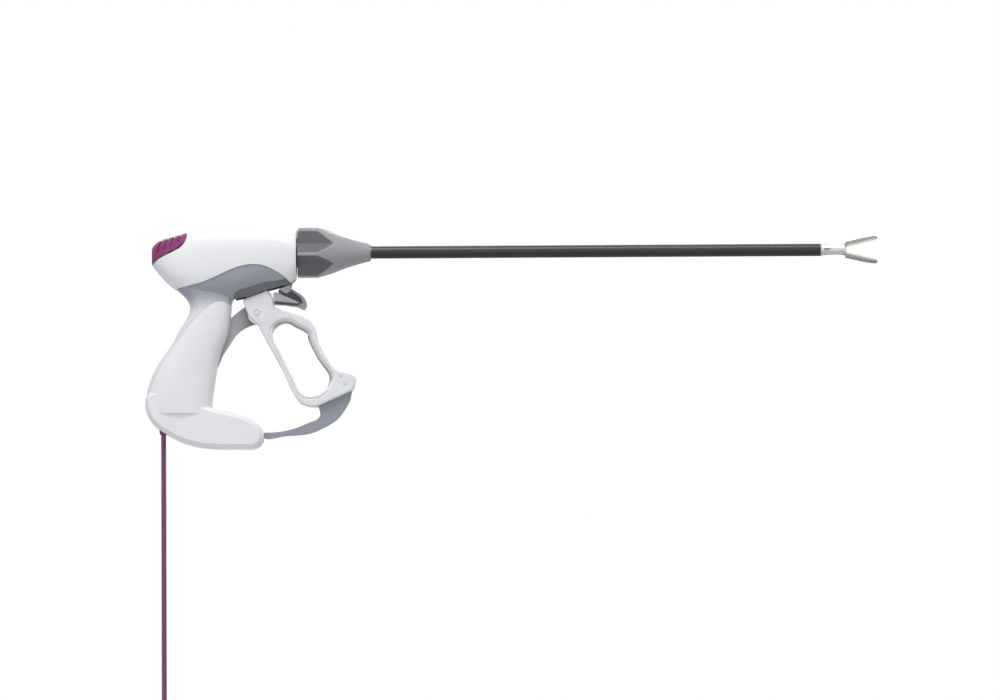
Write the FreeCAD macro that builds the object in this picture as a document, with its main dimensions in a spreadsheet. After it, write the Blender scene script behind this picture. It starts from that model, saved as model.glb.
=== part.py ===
import FreeCAD, Part
import math
import os
import Sketcher
from FreeCAD import Placement, Rotation, Vector

doc = FreeCAD.newDocument("vessel_sealing_device")

# Driving dimensions in millimetres and degrees. The origin is the palm's place inside the grip,
# +X runs to the jaws, +Z up, and +Y is the side away from the reader.
SIZES = {
    # Shaft and rotation knob
    "shaft_axis_z": 79.0, "sleeve_radius": 5.0, "sleeve_wall": 0.45, "tube_wall": 0.5,
    "sleeve_gap": 0.2, "sleeve_end": 505.2, "tube_start": 96.0, "nose_end": 145.1,
    "knob_rear": 86.5, "knob_ridge_radius": 22.2, "knob_valley_radius": 15.7, "knob_land": 16.0,
    "knob_nose_radius": 7.3, "knob_spigot_radius": 12.0, "knob_flange_radius": 14.0,
    "knob_flange_wall": 2.0, "spigot_start": 78.8, "knob_bore_radius": 9.6,
    "knob_bore_end": 102.0, "flute_count": 6.0,
    # Jaws at the tip
    "pivot_x": 517.2, "clevis_front": 8.4, "clevis_half_height": 3.8, "clevis_gap": 2.4,
    "clevis_start": 498.0, "clevis_shoulder": 506.6, "pivot_pin_radius": 1.1,
    "pivot_head_radius": 1.6, "tip_pin_half_length": 4.6, "cam_pin_radius": 1.0, "cam_near": 4.4, "cam_travel": 4.0,
    "jaw_opening": 13.5, "jaw_length": 26.8, "jaw_base_radius": 4.75, "jaw_tip_radius": 3.7,
    "jaw_half_width": 3.2, "seal_plate_wall": 0.55, "insulator_wall": 0.9, "seal_gap": 0.1,
    "tail_inner": 0.9, "tail_outer": 2.3, "knife_slot": 0.35, "jaw_slot_end": 20.0,
    # Drive inside the shaft
    "drive_tube_radius": 3.5, "drive_tube_wall": 0.7, "drive_tube_start": 48.0,
    "drive_tube_end": 496.0, "tongue_inner": 0.3, "tongue_outer": 0.8, "tongue_half": 2.1, "tongue_root": 9.0,
    "collar_neck_radius": 5.2, "collar_flange_radius": 6.2, "collar_half": 2.9,
    "carriage_neck_radius": 6.6, "carriage_flange_radius": 7.6,
    "knife_half_thickness": 0.2, "knife_half_height": 1.9, "knife_reach": 7.3,
    "knife_travel": 16.4, "rod_half_width": 0.8, "rod_half_height": 1.6,
    "cross_pin_radius": 0.9,
    # Rocker and knife lever inside the barrel
    "rocker_z": 69.0, "rocker_swing": 11.64, "lever_drive_radius": 18.0, "drive_pin_radius": 1.4,
    "rocker_half": 2.4, "fork_inner": 5.4, "fork_outer": 6.6, "fork_tip_radius": 1.5,
    "fork_neck": 0.75, "crank_bar_height": 8.5,
    "link_x": 69.8, "trigger_pivot_x": 80.0, "trigger_pivot_z": 58.0, "trigger_arm": 20.0,
    "trigger_swing": 22.0, "link_swing": 46.0, "hinge_pin_radius": 1.5, "hub_radius": 3.2,
    "arm_inner": 6.9, "arm_outer": 8.1, "stub_radius": 1.2, "pin_half_length": 12.0,
    # Housing
    "wall": 2.2, "seam": 0.1, "frame_inset": 0.7, "slot_half_width": 8.7, "foot_half_width": 14.0,
    "foot_chamfer": 3.2, "web_half_width": 2.5, "front_face": 85.5, "collar_outer_radius": 15.4,
    "screw_reach": 8.0, "cam_fit": 0.09, "screw_radius": 1.5, "boss_radius": 3.4,
    # Lever
    "lever_pin_x": 54.0, "lever_pin_z": 30.4, "lever_pin_radius": 1.75, "lever_swing": 28.0,
    "loop_half_width": 7.0, "cheek_half_width": 8.0, "cheek_gap": 3.8,
    "latch_half_width": 2.6, "rivet_radius": 1.6, "yoke_inner": 2.7, "yoke_outer": 3.6,
    # Cord, plug and general clearances
    "button_gap": 1.3, "cord_radius": 2.0, "cord_x": -21.3, "gland_radius": 3.4, "gland_top": -58.0,
    "gland_bottom": -66.5, "lead_bottom": -286.0, "coil_radius": 28.0, "coil_thickness": 10.0, "tie_gap": 0.3,
    "tail_length": 42.0, "plug_length": 38.0, "plug_width": 24.0, "plug_depth": 12.0,
    "plug_pin_radius": 1.2, "plug_pin_length": 12.0,
    "running_fit": 0.06, "slide_fit": 0.25, "press": 0.02,
}

sheet = doc.addObject("Spreadsheet::Sheet", "sizes")
for row, (alias, value) in enumerate(SIZES.items(), start=1):
    sheet.set("A%d" % row, alias)
    sheet.set("B%d" % row, str(value))
    sheet.setAlias("B%d" % row, alias)
doc.recompute()


class Size:
    """A dimension: its number and the sheet expression that it comes from."""

    def __init__(self, number, text):
        self.number = float(number)
        self.text = text

    def joined(self, other, sign, number):
        return Size(number, "(%s %s %s)" % (self.text, sign, as_size(other).text))

    def __add__(self, other):
        return self.joined(other, "+", self.number + float(other))

    def __sub__(self, other):
        return self.joined(other, "-", self.number - float(other))

    def __mul__(self, other):
        return self.joined(other, "*", self.number * float(other))

    def __truediv__(self, other):
        return self.joined(other, "/", self.number / float(other))

    def __radd__(self, other):
        return as_size(other) + self

    def __rsub__(self, other):
        return as_size(other) - self

    def __rmul__(self, other):
        return as_size(other) * self

    def __neg__(self):
        return 0 - self

    def __float__(self):
        return self.number


def as_size(value):
    """The value as a Size, so that plain numbers and named sizes mix."""
    if isinstance(value, Size):
        return value
    return Size(value, repr(round(float(value), 6)))


class Sheet:
    """Named sizes, read from the sheet: cell.wall is the wall."""

    def __getattr__(self, alias):
        return Size(getattr(sheet, alias), "sizes." + alias)


cell = Sheet()
pieces = []


def keep(piece):
    """Mark an object as one of the sub-parts that get a file."""
    pieces.append(piece)
    return piece


def bind(thing, **properties):
    """Tie properties of an object to sheet expressions."""
    for name, size in properties.items():
        thing.setExpression(name.replace("__", "."), as_size(size).text)


# Sketches and bodies

def new_body(name, x=0, y=0, z=0, turn=None):
    """A body whose place is tied to the sheet."""
    body = doc.addObject("PartDesign::Body", name)
    body.Label = name
    body.Placement = Placement(Vector(float(x), float(y), float(z)), turn or Rotation())
    bind(body, Placement__Base__x=x, Placement__Base__y=y, Placement__Base__z=z)
    return body


def new_sketch(body, role, offset=0):
    """A sketch on one of the body's own origin planes, moved along the plane's normal."""
    sketch = body.newObject("Sketcher::SketchObject", "%s_sketch%d" % (body.Name, len(body.Group)))
    plane = [feature for feature in body.Origin.OriginFeatures if feature.Role == role][0]
    sketch.AttachmentSupport = [(plane, "")]
    sketch.MapMode = "FlatFace"
    sketch.AttachmentOffset = Placement(Vector(0, 0, float(offset)), Rotation())
    sketch.setExpression("AttachmentOffset.Base.z", as_size(offset).text)
    return sketch


def hold(sketch, kind, geometry, point, size):
    """Hold a point's distance from the sketch origin at a size from the sheet."""
    number = sketch.addConstraint(Sketcher.Constraint(kind, -1, 1, geometry, point, float(size)))
    if isinstance(size, Size):
        sketch.setExpression("Constraints[%d]" % number, size.text)


def polygon(sketch, corners):
    """Straight edges through corners that are held at their sizes."""
    places = [Vector(float(u), float(v), 0) for u, v in corners]
    count = len(places)
    first = len(sketch.Geometry)
    for index in range(count):
        edge = Part.LineSegment(places[index], places[(index + 1) % count])
        sketch.addGeometry(edge, False)
    for index in range(count):
        following = first + (index + 1) % count
        sketch.addConstraint(Sketcher.Constraint("Coincident", first + index, 2, following, 1))
    for index, (u, v) in enumerate(corners):
        hold(sketch, "DistanceX", first + index, 1, u)
        hold(sketch, "DistanceY", first + index, 1, v)


def circle(sketch, u, v, radius):
    """A circle with its centre and radius held at their sizes."""
    shape = Part.Circle(Vector(float(u), float(v), 0), Vector(0, 0, 1), float(radius))
    number = sketch.addGeometry(shape, False)
    held = sketch.addConstraint(Sketcher.Constraint("Radius", number, float(radius)))
    sketch.setExpression("Constraints[%d]" % held, as_size(radius).text)
    hold(sketch, "DistanceX", number, 3, u)
    hold(sketch, "DistanceY", number, 3, v)


def curved_edges(runs, at=lambda u, v: Vector(u, v, 0)):
    """Edges of a closed outline. A run of two points is a line, a longer run a smooth curve."""
    edges = []
    for index, run in enumerate(runs):
        following = runs[(index + 1) % len(runs)]
        points = [at(float(u), float(v)) for u, v in list(run) + [following[0]]]
        if len(points) == 2:
            edges.append(Part.LineSegment(points[0], points[1]))
        else:
            curve = Part.BSplineCurve()
            curve.interpolate(points)
            edges.append(curve)
    return edges


def outline(sketch, runs):
    """Draw a closed outline of lines and smooth curves in a sketch."""
    for edge in curved_edges(runs):
        sketch.addGeometry(edge, False)


def pad(body, sketch, length, both_ways=False):
    """Thicken a sketch, to one side or to both."""
    feature = body.newObject("PartDesign::Pad", "%s_pad%d" % (body.Name, len(body.Group)))
    feature.Profile = sketch
    feature.Midplane = both_ways
    bind(feature, Length=length)
    return feature


def pocket(body, sketch, length, both_ways=False):
    """Cut a sketch out of the body, and make sure that it cut something."""
    doc.recompute()
    before = body.Shape.Volume
    feature = body.newObject("PartDesign::Pocket", "%s_pocket%d" % (body.Name, len(body.Group)))
    feature.Profile = sketch
    feature.Midplane = both_ways
    bind(feature, Length=length)
    doc.recompute()
    if body.Shape.Volume > before - 1e-6:
        raise ValueError("the pocket in %s cuts nothing" % body.Name)
    return feature


def plate(name, draw, low, high, x=0, z=0):
    """A body with a side profile, from y = low to y = high. draw fills its sketch."""
    body = new_body(name, x, 0, z)
    add_plate(body, draw, low, high)
    return body


def add_plate(body, draw, low, high):
    """Add a side profile from y = low to y = high to a body."""
    sketch = new_sketch(body, "XZ_Plane", -as_size(high))
    draw(sketch)
    return pad(body, sketch, high - as_size(low))


def cut_plate(body, draw, low, high):
    """Cut a side profile from y = low to y = high out of a body."""
    sketch = new_sketch(body, "XZ_Plane", -as_size(low))
    draw(sketch)
    return pocket(body, sketch, high - as_size(low))


def turned(name, profile, x=0, z=None):
    """A body turned about the shaft axis. profile holds places along it and radii."""
    body = new_body(name, x, 0, cell.shaft_axis_z if z is None else z)
    sketch = new_sketch(body, "XZ_Plane")
    if callable(profile):
        profile(sketch)
    else:
        polygon(sketch, profile)
    feature = body.newObject("PartDesign::Revolution", name + "_turn")
    feature.Profile = sketch
    feature.ReferenceAxis = (sketch, ["H_Axis"])
    feature.Angle = 360
    return body


def ring(name, start, end, inner, outer, x=0):
    """A tube on the shaft axis."""
    corners = [(start, inner), (end, inner), (end, outer), (start, outer)]
    return turned(name, corners, x)


def cross_pin(name, x, z, radius, half_length, turn=None):
    """A round pin across the device, along Y."""
    pin = doc.addObject("Part::Cylinder", name)
    pin.Label = name
    pin.Placement = Placement(Vector(float(x), float(half_length), float(z)),
                              Rotation(Vector(1, 0, 0), 90))
    bind(pin, Radius=radius, Height=half_length * as_size(2), Placement__Base__x=x,
         Placement__Base__y=half_length, Placement__Base__z=z)
    return pin


def solid_piece(name, shape):
    """A sub-part whose shape comes from the functions below."""
    piece = doc.addObject("Part::Feature", name)
    piece.Label = name
    piece.Shape = shape
    piece.Placement = Placement()
    return keep(piece)


def prism(runs, low, high):
    """A solid with a side outline, from y = low to y = high."""
    edges = curved_edges(runs, lambda u, v: Vector(u, float(low), v))
    face = Part.Face(Part.Wire([edge.toShape() for edge in edges]))
    return face.extrude(Vector(0, float(high) - float(low), 0))


def pin_hole(x, z, radius, low, high):
    """A round solid along Y, for holes and bosses."""
    return Part.makeCylinder(float(radius), float(high) - float(low),
                             Vector(float(x), float(low), float(z)), Vector(0, 1, 0))


def polar(x, z, radius, degrees):
    """A point at an angle from +X towards +Z around a centre, on the XZ plane."""
    turn = math.radians(float(degrees))
    return float(x) + float(radius) * math.cos(turn), float(z) + float(radius) * math.sin(turn)


# Housing: outer forms

# Stations of the barrel: place along X, lowest and highest point, half of the width
BARREL = [(-30, 69, 83.5, 7.5), (-24, 61.5, 89, 11.5), (-14, 51.5, 92.2, 15), (0, 43, 96.2, 17.5),
          (20, 38, 99.8, 19), (45, 44, 100.1, 19.5), (68, 51, 98.8, 19.5), (85.5, 57.5, 97.4, 19)]
# Stations of the grip: height, rearmost and foremost point, half of the width
GRIP = [(58, -14, 36, 14), (46, -7, 37, 15), (36, -0.6, 34, 15.5), (24, -4.8, 32.6, 15.8),
        (9, -13.2, 29, 16), (-6, -23.4, 23.8, 16.3), (-21, -31.6, 20.8, 16.5),
        (-35, -35.2, 18.7, 16.3), (-50, -33.8, 18, 15.6)]
# Foot below the grip, its front end pierced by the latch arm
FOOT_STATIONS = 28
FOOT = [(-36, -40), (-35.2, -46), (-30.7, -56.6), (-19.3, -65.8), (-7, -72.2), (9, -76.6),
        (28, -78), (44, -78.2), (53, -77.4), (57.4, -74), (58.8, -69), (57.9, -63.5),
        (52.5, -57), (41, -51.6), (28.3, -48.2), (14, -44.5), (0, -38), (-20, -32), (-32, -33)]
# Line between the white upper cover and the grey frame, from the rear to the front
BELLY_LINE = [(-60, 48), (-9, 50), (0, 52), (10, 54.5), (20, 58.5), (30, 63), (40, 66.8),
              (50, 68.5), (60, 67.3), (70, 62.5), (80, 55), (84, 49)]
# Line between the grey frame and the white grip panel, from the heel to the front of the grip
GRIP_LINE = [(-60, -42), (-34.5, -41), (-30, -27), (-25, -16), (-15, 0), (-5, 14), (5, 26.5),
             (11, 32), (19, 38), (24, 39.5), (29, 38.7), (33, 36), (34.4, 30), (60, 29)]
# Lower edge of the thumb button on the rear slope of the barrel
BUTTON_LINE = [(-34, 62), (-30, 69), (-27.5, 72.6), (-21, 77), (-12, 81.3), (-7.5, 84), (-4.2, 88),
               (-2.6, 93), (-2.4, 99)]
BUTTON_PRESS = Vector(0.62, 0, -0.785)


def rounded_section(centre, along_u, along_v, half_u, half_v, fullness):
    """A closed smooth curve between an ellipse and a rectangle."""
    count = 24
    points = []
    for index in range(count):
        turn = 2 * math.pi * (index + 0.5) / count
        across, up = math.cos(turn), math.sin(turn)
        u = half_u * math.copysign(abs(across) ** (2 / fullness), across)
        v = half_v * math.copysign(abs(up) ** (2 / fullness), up)
        points.append(centre + along_u * u + along_v * v)
    curve = Part.BSplineCurve()
    curve.interpolate(points, PeriodicFlag=True)
    return Part.Wire([curve.toShape()])


def barrel_form(inset):
    """The barrel's form, drawn in by an inset on every side."""
    sections = []
    last = len(BARREL) - 1
    for index, (x, low, high, half) in enumerate(BARREL):
        place = x + inset if index == 0 else x - inset if index == last else x
        centre = Vector(place, 0, (low + high) / 2)
        sections.append(rounded_section(centre, Vector(0, 1, 0), Vector(0, 0, 1), half - inset,
                                        (high - low) / 2 - inset, 2.5))
    return Part.makeLoft(sections, True, False)


def grip_form(inset):
    """The grip's form, drawn in by an inset on every side."""
    sections = []
    for z, rear, front, half in GRIP:
        centre = Vector((rear + front) / 2, 0, z)
        sections.append(rounded_section(centre, Vector(1, 0, 0), Vector(0, 1, 0),
                                        (front - rear) / 2 - inset, half - inset, 2.7))
    return Part.makeLoft(sections, True, False)


def foot_wire(inset, y):
    """The foot's outline, drawn in by an inset, at one distance from the middle plane."""
    curve = Part.BSplineCurve()
    curve.interpolate([Vector(u, 0, v) for u, v in FOOT], PeriodicFlag=True)
    step = (curve.LastParameter - curve.FirstParameter) / FOOT_STATIONS
    places = []
    for number in range(FOOT_STATIONS):
        at = curve.FirstParameter + number * step
        along = curve.tangent(at)[0]
        places.append(curve.value(at) + Vector(-along.z, 0, along.x) * inset + Vector(0, y, 0))
    drawn = Part.BSplineCurve()
    drawn.interpolate(places, PeriodicFlag=True)
    return Part.Wire([drawn.toShape()])


def foot_form(inset):
    """The foot's form, with bevelled long edges, drawn in by an inset on every side."""
    half = float(cell.foot_half_width) - inset
    bevel = float(cell.foot_chamfer)
    return Part.makeLoft([foot_wire(inset + bevel, -half), foot_wire(inset, bevel - half),
                          foot_wire(inset, half - bevel), foot_wire(inset + bevel, half)],
                         True, True)


def housing_form(inset):
    """Barrel, grip and foot as one form."""
    return barrel_form(inset).fuse([grip_form(inset), foot_form(inset)]).removeSplitter()


def region_above(line, shift=Vector()):
    """Everything above a line on the side view, moved by a shift."""
    first, last = line[0], line[-1]
    runs = [line[:-1], [last], [(140, last[1])], [(140, 140)], [(first[0], 140)]]
    region = prism(runs, -60, 60)
    region.translate(shift)
    return region


def button_region(depth):
    """The button's room on the rear slope, deepened along the press direction."""
    line = BUTTON_LINE
    runs = [line[:-1], [line[-1]], [(-2.4, 120)], [(-60, 120)], [(-60, 62)]]
    region = prism(runs, -60, 60)
    region.translate(BUTTON_PRESS * depth)
    return region


def box_between(x0, x1, y0, y1, z0, z1):
    """A box from its limits."""
    return Part.makeBox(float(x1) - float(x0), float(y1) - float(y0), float(z1) - float(z0),
                        Vector(float(x0), float(y0), float(z0)))


def latch_sector(inner, outer, start, end, half):
    """A slot round the lever pin, from one angle to the other, measured from straight down."""
    x, z = float(cell.lever_pin_x), float(cell.lever_pin_z)
    ring_outer = pin_hole(x, z, outer, -half, half)
    ring_inner = pin_hole(x, z, inner, -half - 1, half + 1)
    reach = outer * 1.5
    wedge = [[(x, z)], [polar(x, z, reach, start - 90)],
             [polar(x, z, reach, (start + end) / 2 - 90)], [polar(x, z, reach, end - 90)]]
    return ring_outer.cut(ring_inner).common(prism(wedge, -half - 1, half + 1))


SCREWS = [(-14, 66), (30, 84), (8, 12), (-20, -30), (14, -69.5)]


def build_housing():
    """Six shells: two upper covers, two frame halves and two grip panels."""
    wall = float(cell.wall)
    inset = float(cell.frame_inset)
    seam = float(cell.seam)
    axis = float(cell.shaft_axis_z)
    gap = float(cell.button_gap)
    white = housing_form(0).cut(button_region(gap))
    grey = housing_form(inset)
    hollow = housing_form(wall).cut(button_region(gap + wall))
    slot = float(cell.slot_half_width)
    bore = Part.makeCylinder(float(cell.knob_spigot_radius) + 0.4, 20,
                             Vector(float(cell.front_face) - 10, 0, axis), Vector(1, 0, 0))
    lever_slot = box_between(35.5, 66, -slot, slot, 30, 52.5)
    trigger_slot = box_between(54, 84.4, -slot, slot, 44, 61.8)
    latch_slot = latch_sector(95.3, 107.2, -37, 6, float(cell.latch_half_width) + 0.7)
    stem = BUTTON_PRESS * 12
    middle = Vector(-15.5, 0, 80) - BUTTON_PRESS * 4
    stem_hole = Part.makeCylinder(2.2, stem.Length, middle, BUTTON_PRESS)
    cord_hole = Part.makeCylinder(float(cell.gland_radius), 30,
                                  Vector(float(cell.cord_x), 0, -80), Vector(0, 0, 1))
    web = prism(web_runs(), -float(cell.web_half_width), float(cell.web_half_width))
    openings = [bore, lever_slot, trigger_slot, latch_slot, stem_hole, cord_hole, web]
    above_belly = region_above(BELLY_LINE, Vector(0, 0, seam))
    below_belly = box_between(-60, 140, -60, 60, -140, 140).cut(
        region_above(BELLY_LINE, Vector(0, 0, -seam)))
    above_grip = region_above(GRIP_LINE, Vector(0, 0, seam))
    below_grip = box_between(-60, 140, -60, 60, -140, 140).cut(
        region_above(GRIP_LINE, Vector(0, 0, -seam)))
    zones = {"barrel_cover": (white, above_belly), "grip_panel": (white, below_grip),
             "frame": (grey, below_belly.common(above_grip))}
    hinge_pins = [(cell.lever_pin_x, cell.rocker_z), (cell.link_x, cell.trigger_pivot_z),
                  (cell.trigger_pivot_x, cell.trigger_pivot_z)]
    for side, sign in (("left", 1), ("right", -1)):
        half = box_between(-140, 140, 0, 60, -140, 140)
        if sign < 0:
            half = box_between(-140, 140, -60, 0, -140, 140)
        bosses = []
        holes = []
        for x, z in hinge_pins:
            ends = sorted((sign * slot, sign * 17.6))
            bosses.append(pin_hole(x, z, cell.boss_radius, *ends))
            holes.append(pin_hole(x, z, cell.hinge_pin_radius, -float(cell.pin_half_length),
                                  float(cell.pin_half_length)))
        for x, z in SCREWS:
            ends = sorted((0, sign * 15.5))
            bosses.append(pin_hole(x, z, cell.boss_radius, *ends))
            holes.append(pin_hole(x, z, cell.screw_radius, -float(cell.screw_reach) - 0.2, 30))
            if sign > 0:
                holes.append(pin_hole(x, z, float(cell.screw_radius) * 1.8 + 0.1, 13.5, 30))
        for zone, (outer, region) in zones.items():
            body = outer.common(region).common(half)
            shell = body.cut(hollow).cut(openings)
            posts = [boss.common(body) for boss in bosses]
            posts = [post for post in posts if post.Volume > 1]
            if posts:
                shell = shell.fuse(posts)
            shell = shell.cut(holes)
            parts = sorted(shell.Solids, key=lambda part: part.Volume)
            solid_piece("%s_%s" % (zone, side), parts[-1])


def web_runs():
    """Outline of the bracket that carries the lever pin in front of the grip."""
    x, z = float(cell.lever_pin_x), float(cell.lever_pin_z)
    front = [polar(x, z, 8.5, turn) for turn in (75, 30, -15, -60, -95)]
    return [[(8, 24), (34.5, 28), (38, 31), (42, 34), (48, 37.5)], front,
            [(50, 21), (45, 19), (38, 14), (31, 4), (26, -4), (20, -16)], [(8, -16)]]


# Rotation knob, shaft and clevis, turned about the shaft axis

def knob_radius(place):
    """Radius of the knob's skin at a place along the shaft, on its hollow cone."""
    land_end = float(cell.knob_rear + cell.knob_land)
    nose = float(cell.nose_end) - 1.2
    share = (place - land_end) / (nose - land_end)
    ridge, tip = float(cell.knob_ridge_radius), float(cell.knob_nose_radius)
    return ridge + (tip - ridge) * (1.38 * share - 0.38 * share * share)


def knob_profile(sketch):
    """Half outline of the knob: spigot and flange at the rear, land, hollow cone and nose."""
    rear, ridge = cell.knob_rear, cell.knob_ridge_radius
    land_end = float(rear + cell.knob_land)
    nose = float(cell.nose_end)
    cone = [(place, knob_radius(place)) for place in
            (land_end, land_end + 13, land_end + 25, land_end + 35, nose - 1.2)]
    bore = cell.sleeve_radius - cell.sleeve_wall + cell.press
    runs = [[(rear, cell.knob_spigot_radius)], [(rear, ridge - 2.2), (rear + 0.6, ridge - 0.7)],
            [(rear + 2.2, ridge)], cone[:-1], [cone[-1]],
            [(nose, float(cell.knob_nose_radius) - 0.9)], [(nose, bore)],
            [(cell.knob_bore_end, bore)],
            [(cell.knob_bore_end, cell.knob_bore_radius)],
            [(cell.spigot_start, cell.knob_bore_radius)],
            [(cell.spigot_start, cell.knob_flange_radius)],
            [(cell.spigot_start + cell.knob_flange_wall, cell.knob_flange_radius)],
            [(cell.spigot_start + cell.knob_flange_wall, cell.knob_spigot_radius)]]
    outline(sketch, runs)


def build_knob():
    """The fluted rotation knob: a turned body with a ring of V-shaped flutes."""
    knob = turned("rotation_knob", knob_profile)
    half_step = 180 / float(cell.flute_count)
    first_valley = 37.5
    sketch = new_sketch(knob, "YZ_Plane", cell.knob_rear - 1)
    far = 2.2 * float(cell.knob_ridge_radius)
    valley = polar(0, 0, cell.knob_valley_radius, first_valley)
    reach = far - float(cell.knob_valley_radius)
    ridge = polar(0, 0, cell.knob_ridge_radius, first_valley + half_step - 1.5)
    slope = math.degrees(math.atan2(ridge[1] - valley[1], ridge[0] - valley[0])) - first_valley
    runs = [[valley], [polar(*valley, reach, first_valley + slope)],
            [polar(*valley, reach, first_valley - slope)]]
    outline(sketch, runs)
    doc.recompute()
    flute = knob.newObject("PartDesign::Pocket", "knob_flute")
    flute.Profile = sketch
    flute.Reversed = True
    bind(flute, Length=cell.nose_end - cell.knob_rear)
    doc.recompute()
    ring_of = knob.newObject("PartDesign::PolarPattern", "knob_flutes")
    ring_of.Originals = [flute]
    ring_of.Axis = (knob.Origin.OriginFeatures[0], [""])
    ring_of.Angle = 360
    bind(ring_of, Occurrences=cell.flute_count)
    knob.Tip = ring_of
    return keep(knob)


def build_shaft():
    """Outer tube, its black sleeve and the cream ring at its end."""
    sleeve_inner = cell.sleeve_radius - cell.sleeve_wall
    tube_outer = sleeve_inner - cell.press
    keep(ring("shaft_sleeve", cell.nose_end + cell.sleeve_gap, cell.sleeve_end, sleeve_inner,
              cell.sleeve_radius))
    keep(ring("shaft_tube", cell.tube_start, cell.clevis_shoulder, tube_outer - cell.tube_wall,
              tube_outer))
    keep(ring("tip_insulator", cell.sleeve_end, cell.clevis_shoulder, sleeve_inner,
              cell.sleeve_radius - cell.press))


def build_clevis():
    """The steel fork that carries the jaws: a stub in the tube, two tines and the cam slots."""
    stub = cell.sleeve_radius - cell.sleeve_wall - cell.press - cell.tube_wall - cell.press
    bar = cell.sleeve_radius - cell.press
    front = cell.pivot_x + cell.clevis_front
    bore = cell.tongue_half + 0.6
    corners = [(cell.clevis_start, bore), (front, bore), (front, bar - 1.2), (front - 1.2, bar),
               (cell.clevis_shoulder, bar), (cell.clevis_shoulder, stub),
               (cell.clevis_start, stub)]
    clevis = turned("jaw_clevis", corners)
    half = cell.clevis_half_height
    root = cell.clevis_shoulder - 0.6
    for side in (1, -1):
        cut_plate(clevis, lambda sketch: polygon(sketch, [
            (root + 1.4, side * half), (front + 1, side * half), (front + 1, side * (half + 3)),
            (root + 1.4, side * (half + 3))]), -6, 6)
    cut_plate(clevis, lambda sketch: polygon(sketch, [
        (root, -6), (front + 1, -6), (front + 1, 6), (root, 6)]), -cell.clevis_gap, cell.clevis_gap)
    cut_plate(clevis, lambda sketch: circle(
        sketch, cell.pivot_x, 0, cell.pivot_head_radius + cell.press), -6, 6)
    near = (float(cell.pivot_x - cell.cam_near), 0)
    far = (near[0] - float(cell.cam_travel), 0)
    slot = float(cell.cam_pin_radius + cell.running_fit)
    cut_plate(clevis, lambda sketch: bar_between(sketch, far, near, slot), -6, 6)
    keep(clevis)


def tip_pin(name, x, radius, head, head_wall):
    """A pin across the clevis with flat heads, turned about its own length."""
    half = cell.tip_pin_half_length
    pin = new_body(name, x, 0, cell.shaft_axis_z)
    sketch = new_sketch(pin, "YZ_Plane")
    corners = [(-half, 0), (half, 0)]
    if head:
        corners += [(half, head), (half - head_wall, head), (half - head_wall, radius),
                    (head_wall - half, radius), (head_wall - half, head), (-half, head)]
    else:
        corners += [(half, radius), (-half, radius)]
    polygon(sketch, corners)
    feature = pin.newObject("PartDesign::Revolution", name + "_turn")
    feature.Profile = sketch
    feature.ReferenceAxis = (sketch, ["H_Axis"])
    feature.Angle = 360
    return keep(pin)


# Jaws: built closed along the axis, then opened by their rest angle

def cam_curve(share):
    """Cam pin place in the upper jaw's own frame. share runs from 0 open to 1 closed."""
    reach = float(cell.cam_near) + float(cell.cam_travel) * share
    tilt = math.radians(float(cell.jaw_opening) * (1 - share))
    return -reach * math.cos(tilt), reach * math.sin(tilt)


def jaw_turn(side):
    """Rotation from closed to the open rest position. side is 1 for the upper jaw."""
    return Rotation(Vector(0, 1, 0), -side * float(cell.jaw_opening))


def jaw_back_shape(side):
    """The tapered round back of one jaw, its root plate and its slotted tail."""
    start = float(cell.clevis_front) + 0.5
    end = start + float(cell.jaw_length) - 0.6
    base, tip = float(cell.jaw_base_radius), float(cell.jaw_tip_radius)
    half = float(cell.jaw_half_width)
    rows = [(start, base), (start + 9, base - 0.25), (start + 18, (base + tip) / 2 + 0.1),
            (end - 2.6, tip)]
    curve = Part.BSplineCurve()
    curve.interpolate([Vector(x, 0, r) for x, r in rows])
    nose = Part.Arc(Vector(end - 2.6, 0, tip), Vector(end - 0.7, 0, tip * 0.72), Vector(end, 0, 0))
    edges = [curve.toShape(), nose.toShape(),
             Part.makeLine(Vector(end, 0, 0), Vector(start, 0, 0)),
             Part.makeLine(Vector(start, 0, 0), Vector(start, 0, base))]
    back = Part.Face(Part.Wire(edges)).revolve(Vector(), Vector(1, 0, 0), 360)
    low = float(cell.seal_gap + cell.seal_plate_wall + cell.insulator_wall)
    back = back.common(box_between(0, end + 1, -half, half, low, 10))
    inner, outer = float(cell.tail_inner), float(cell.tail_outer)
    lane = (-outer, -inner) if side > 0 else (inner, outer)
    wall = 1.35
    slot = float(cell.cam_pin_radius + cell.cam_fit)
    stations = [cam_curve(step / 6) for step in range(7)]
    upper = [(x - 0.2, z + slot + wall) for x, z in stations[::-1]]
    lower = [(x, z - slot - wall) for x, z in stations]
    rear = stations[-1]
    tail = [[upper[0], upper[3], upper[6]], [(0, 2.8), (start, 2.7)], [(start + 5, 2.7)],
            [(start + 5, low)], [(start - 1, low), (1.5, -2.4)], [(-2.0, -2.5)],
            [lower[0], lower[3], lower[6]],
            [(rear[0] - slot - 0.9, rear[1] - 1.2), (rear[0] - slot - 0.9, rear[1] + 1.2)]]
    plate_shape = prism(tail, *lane)
    core = plate_shape.common(Part.makeCylinder(float(cell.sleeve_radius) - 0.15, 80,
                                                Vector(-40, 0, 0), Vector(1, 0, 0)))
    above = [(x, z + slot) for x, z in stations[::2]]
    below = [(x, z - slot) for x, z in stations[::-2]]
    band = prism([above[:-1], [above[-1]], below[:-1], [below[-1]]], -6, 6)
    cam = [band] + [pin_hole(x, z, slot, -6, 6) for x, z in (stations[0], rear)]
    pivot = pin_hole(0, 0, cell.pivot_pin_radius + cell.running_fit, -6, 6)
    knife = float(cell.knife_slot)
    groove = box_between(0, start + float(cell.jaw_slot_end), -knife, knife, -3,
                         float(cell.knife_half_height) + 0.25)
    jaw = back.fuse(core).cut(cam + [pivot, groove])
    if side < 0:
        jaw = jaw.mirror(Vector(), Vector(0, 0, 1))
    return jaw


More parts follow.
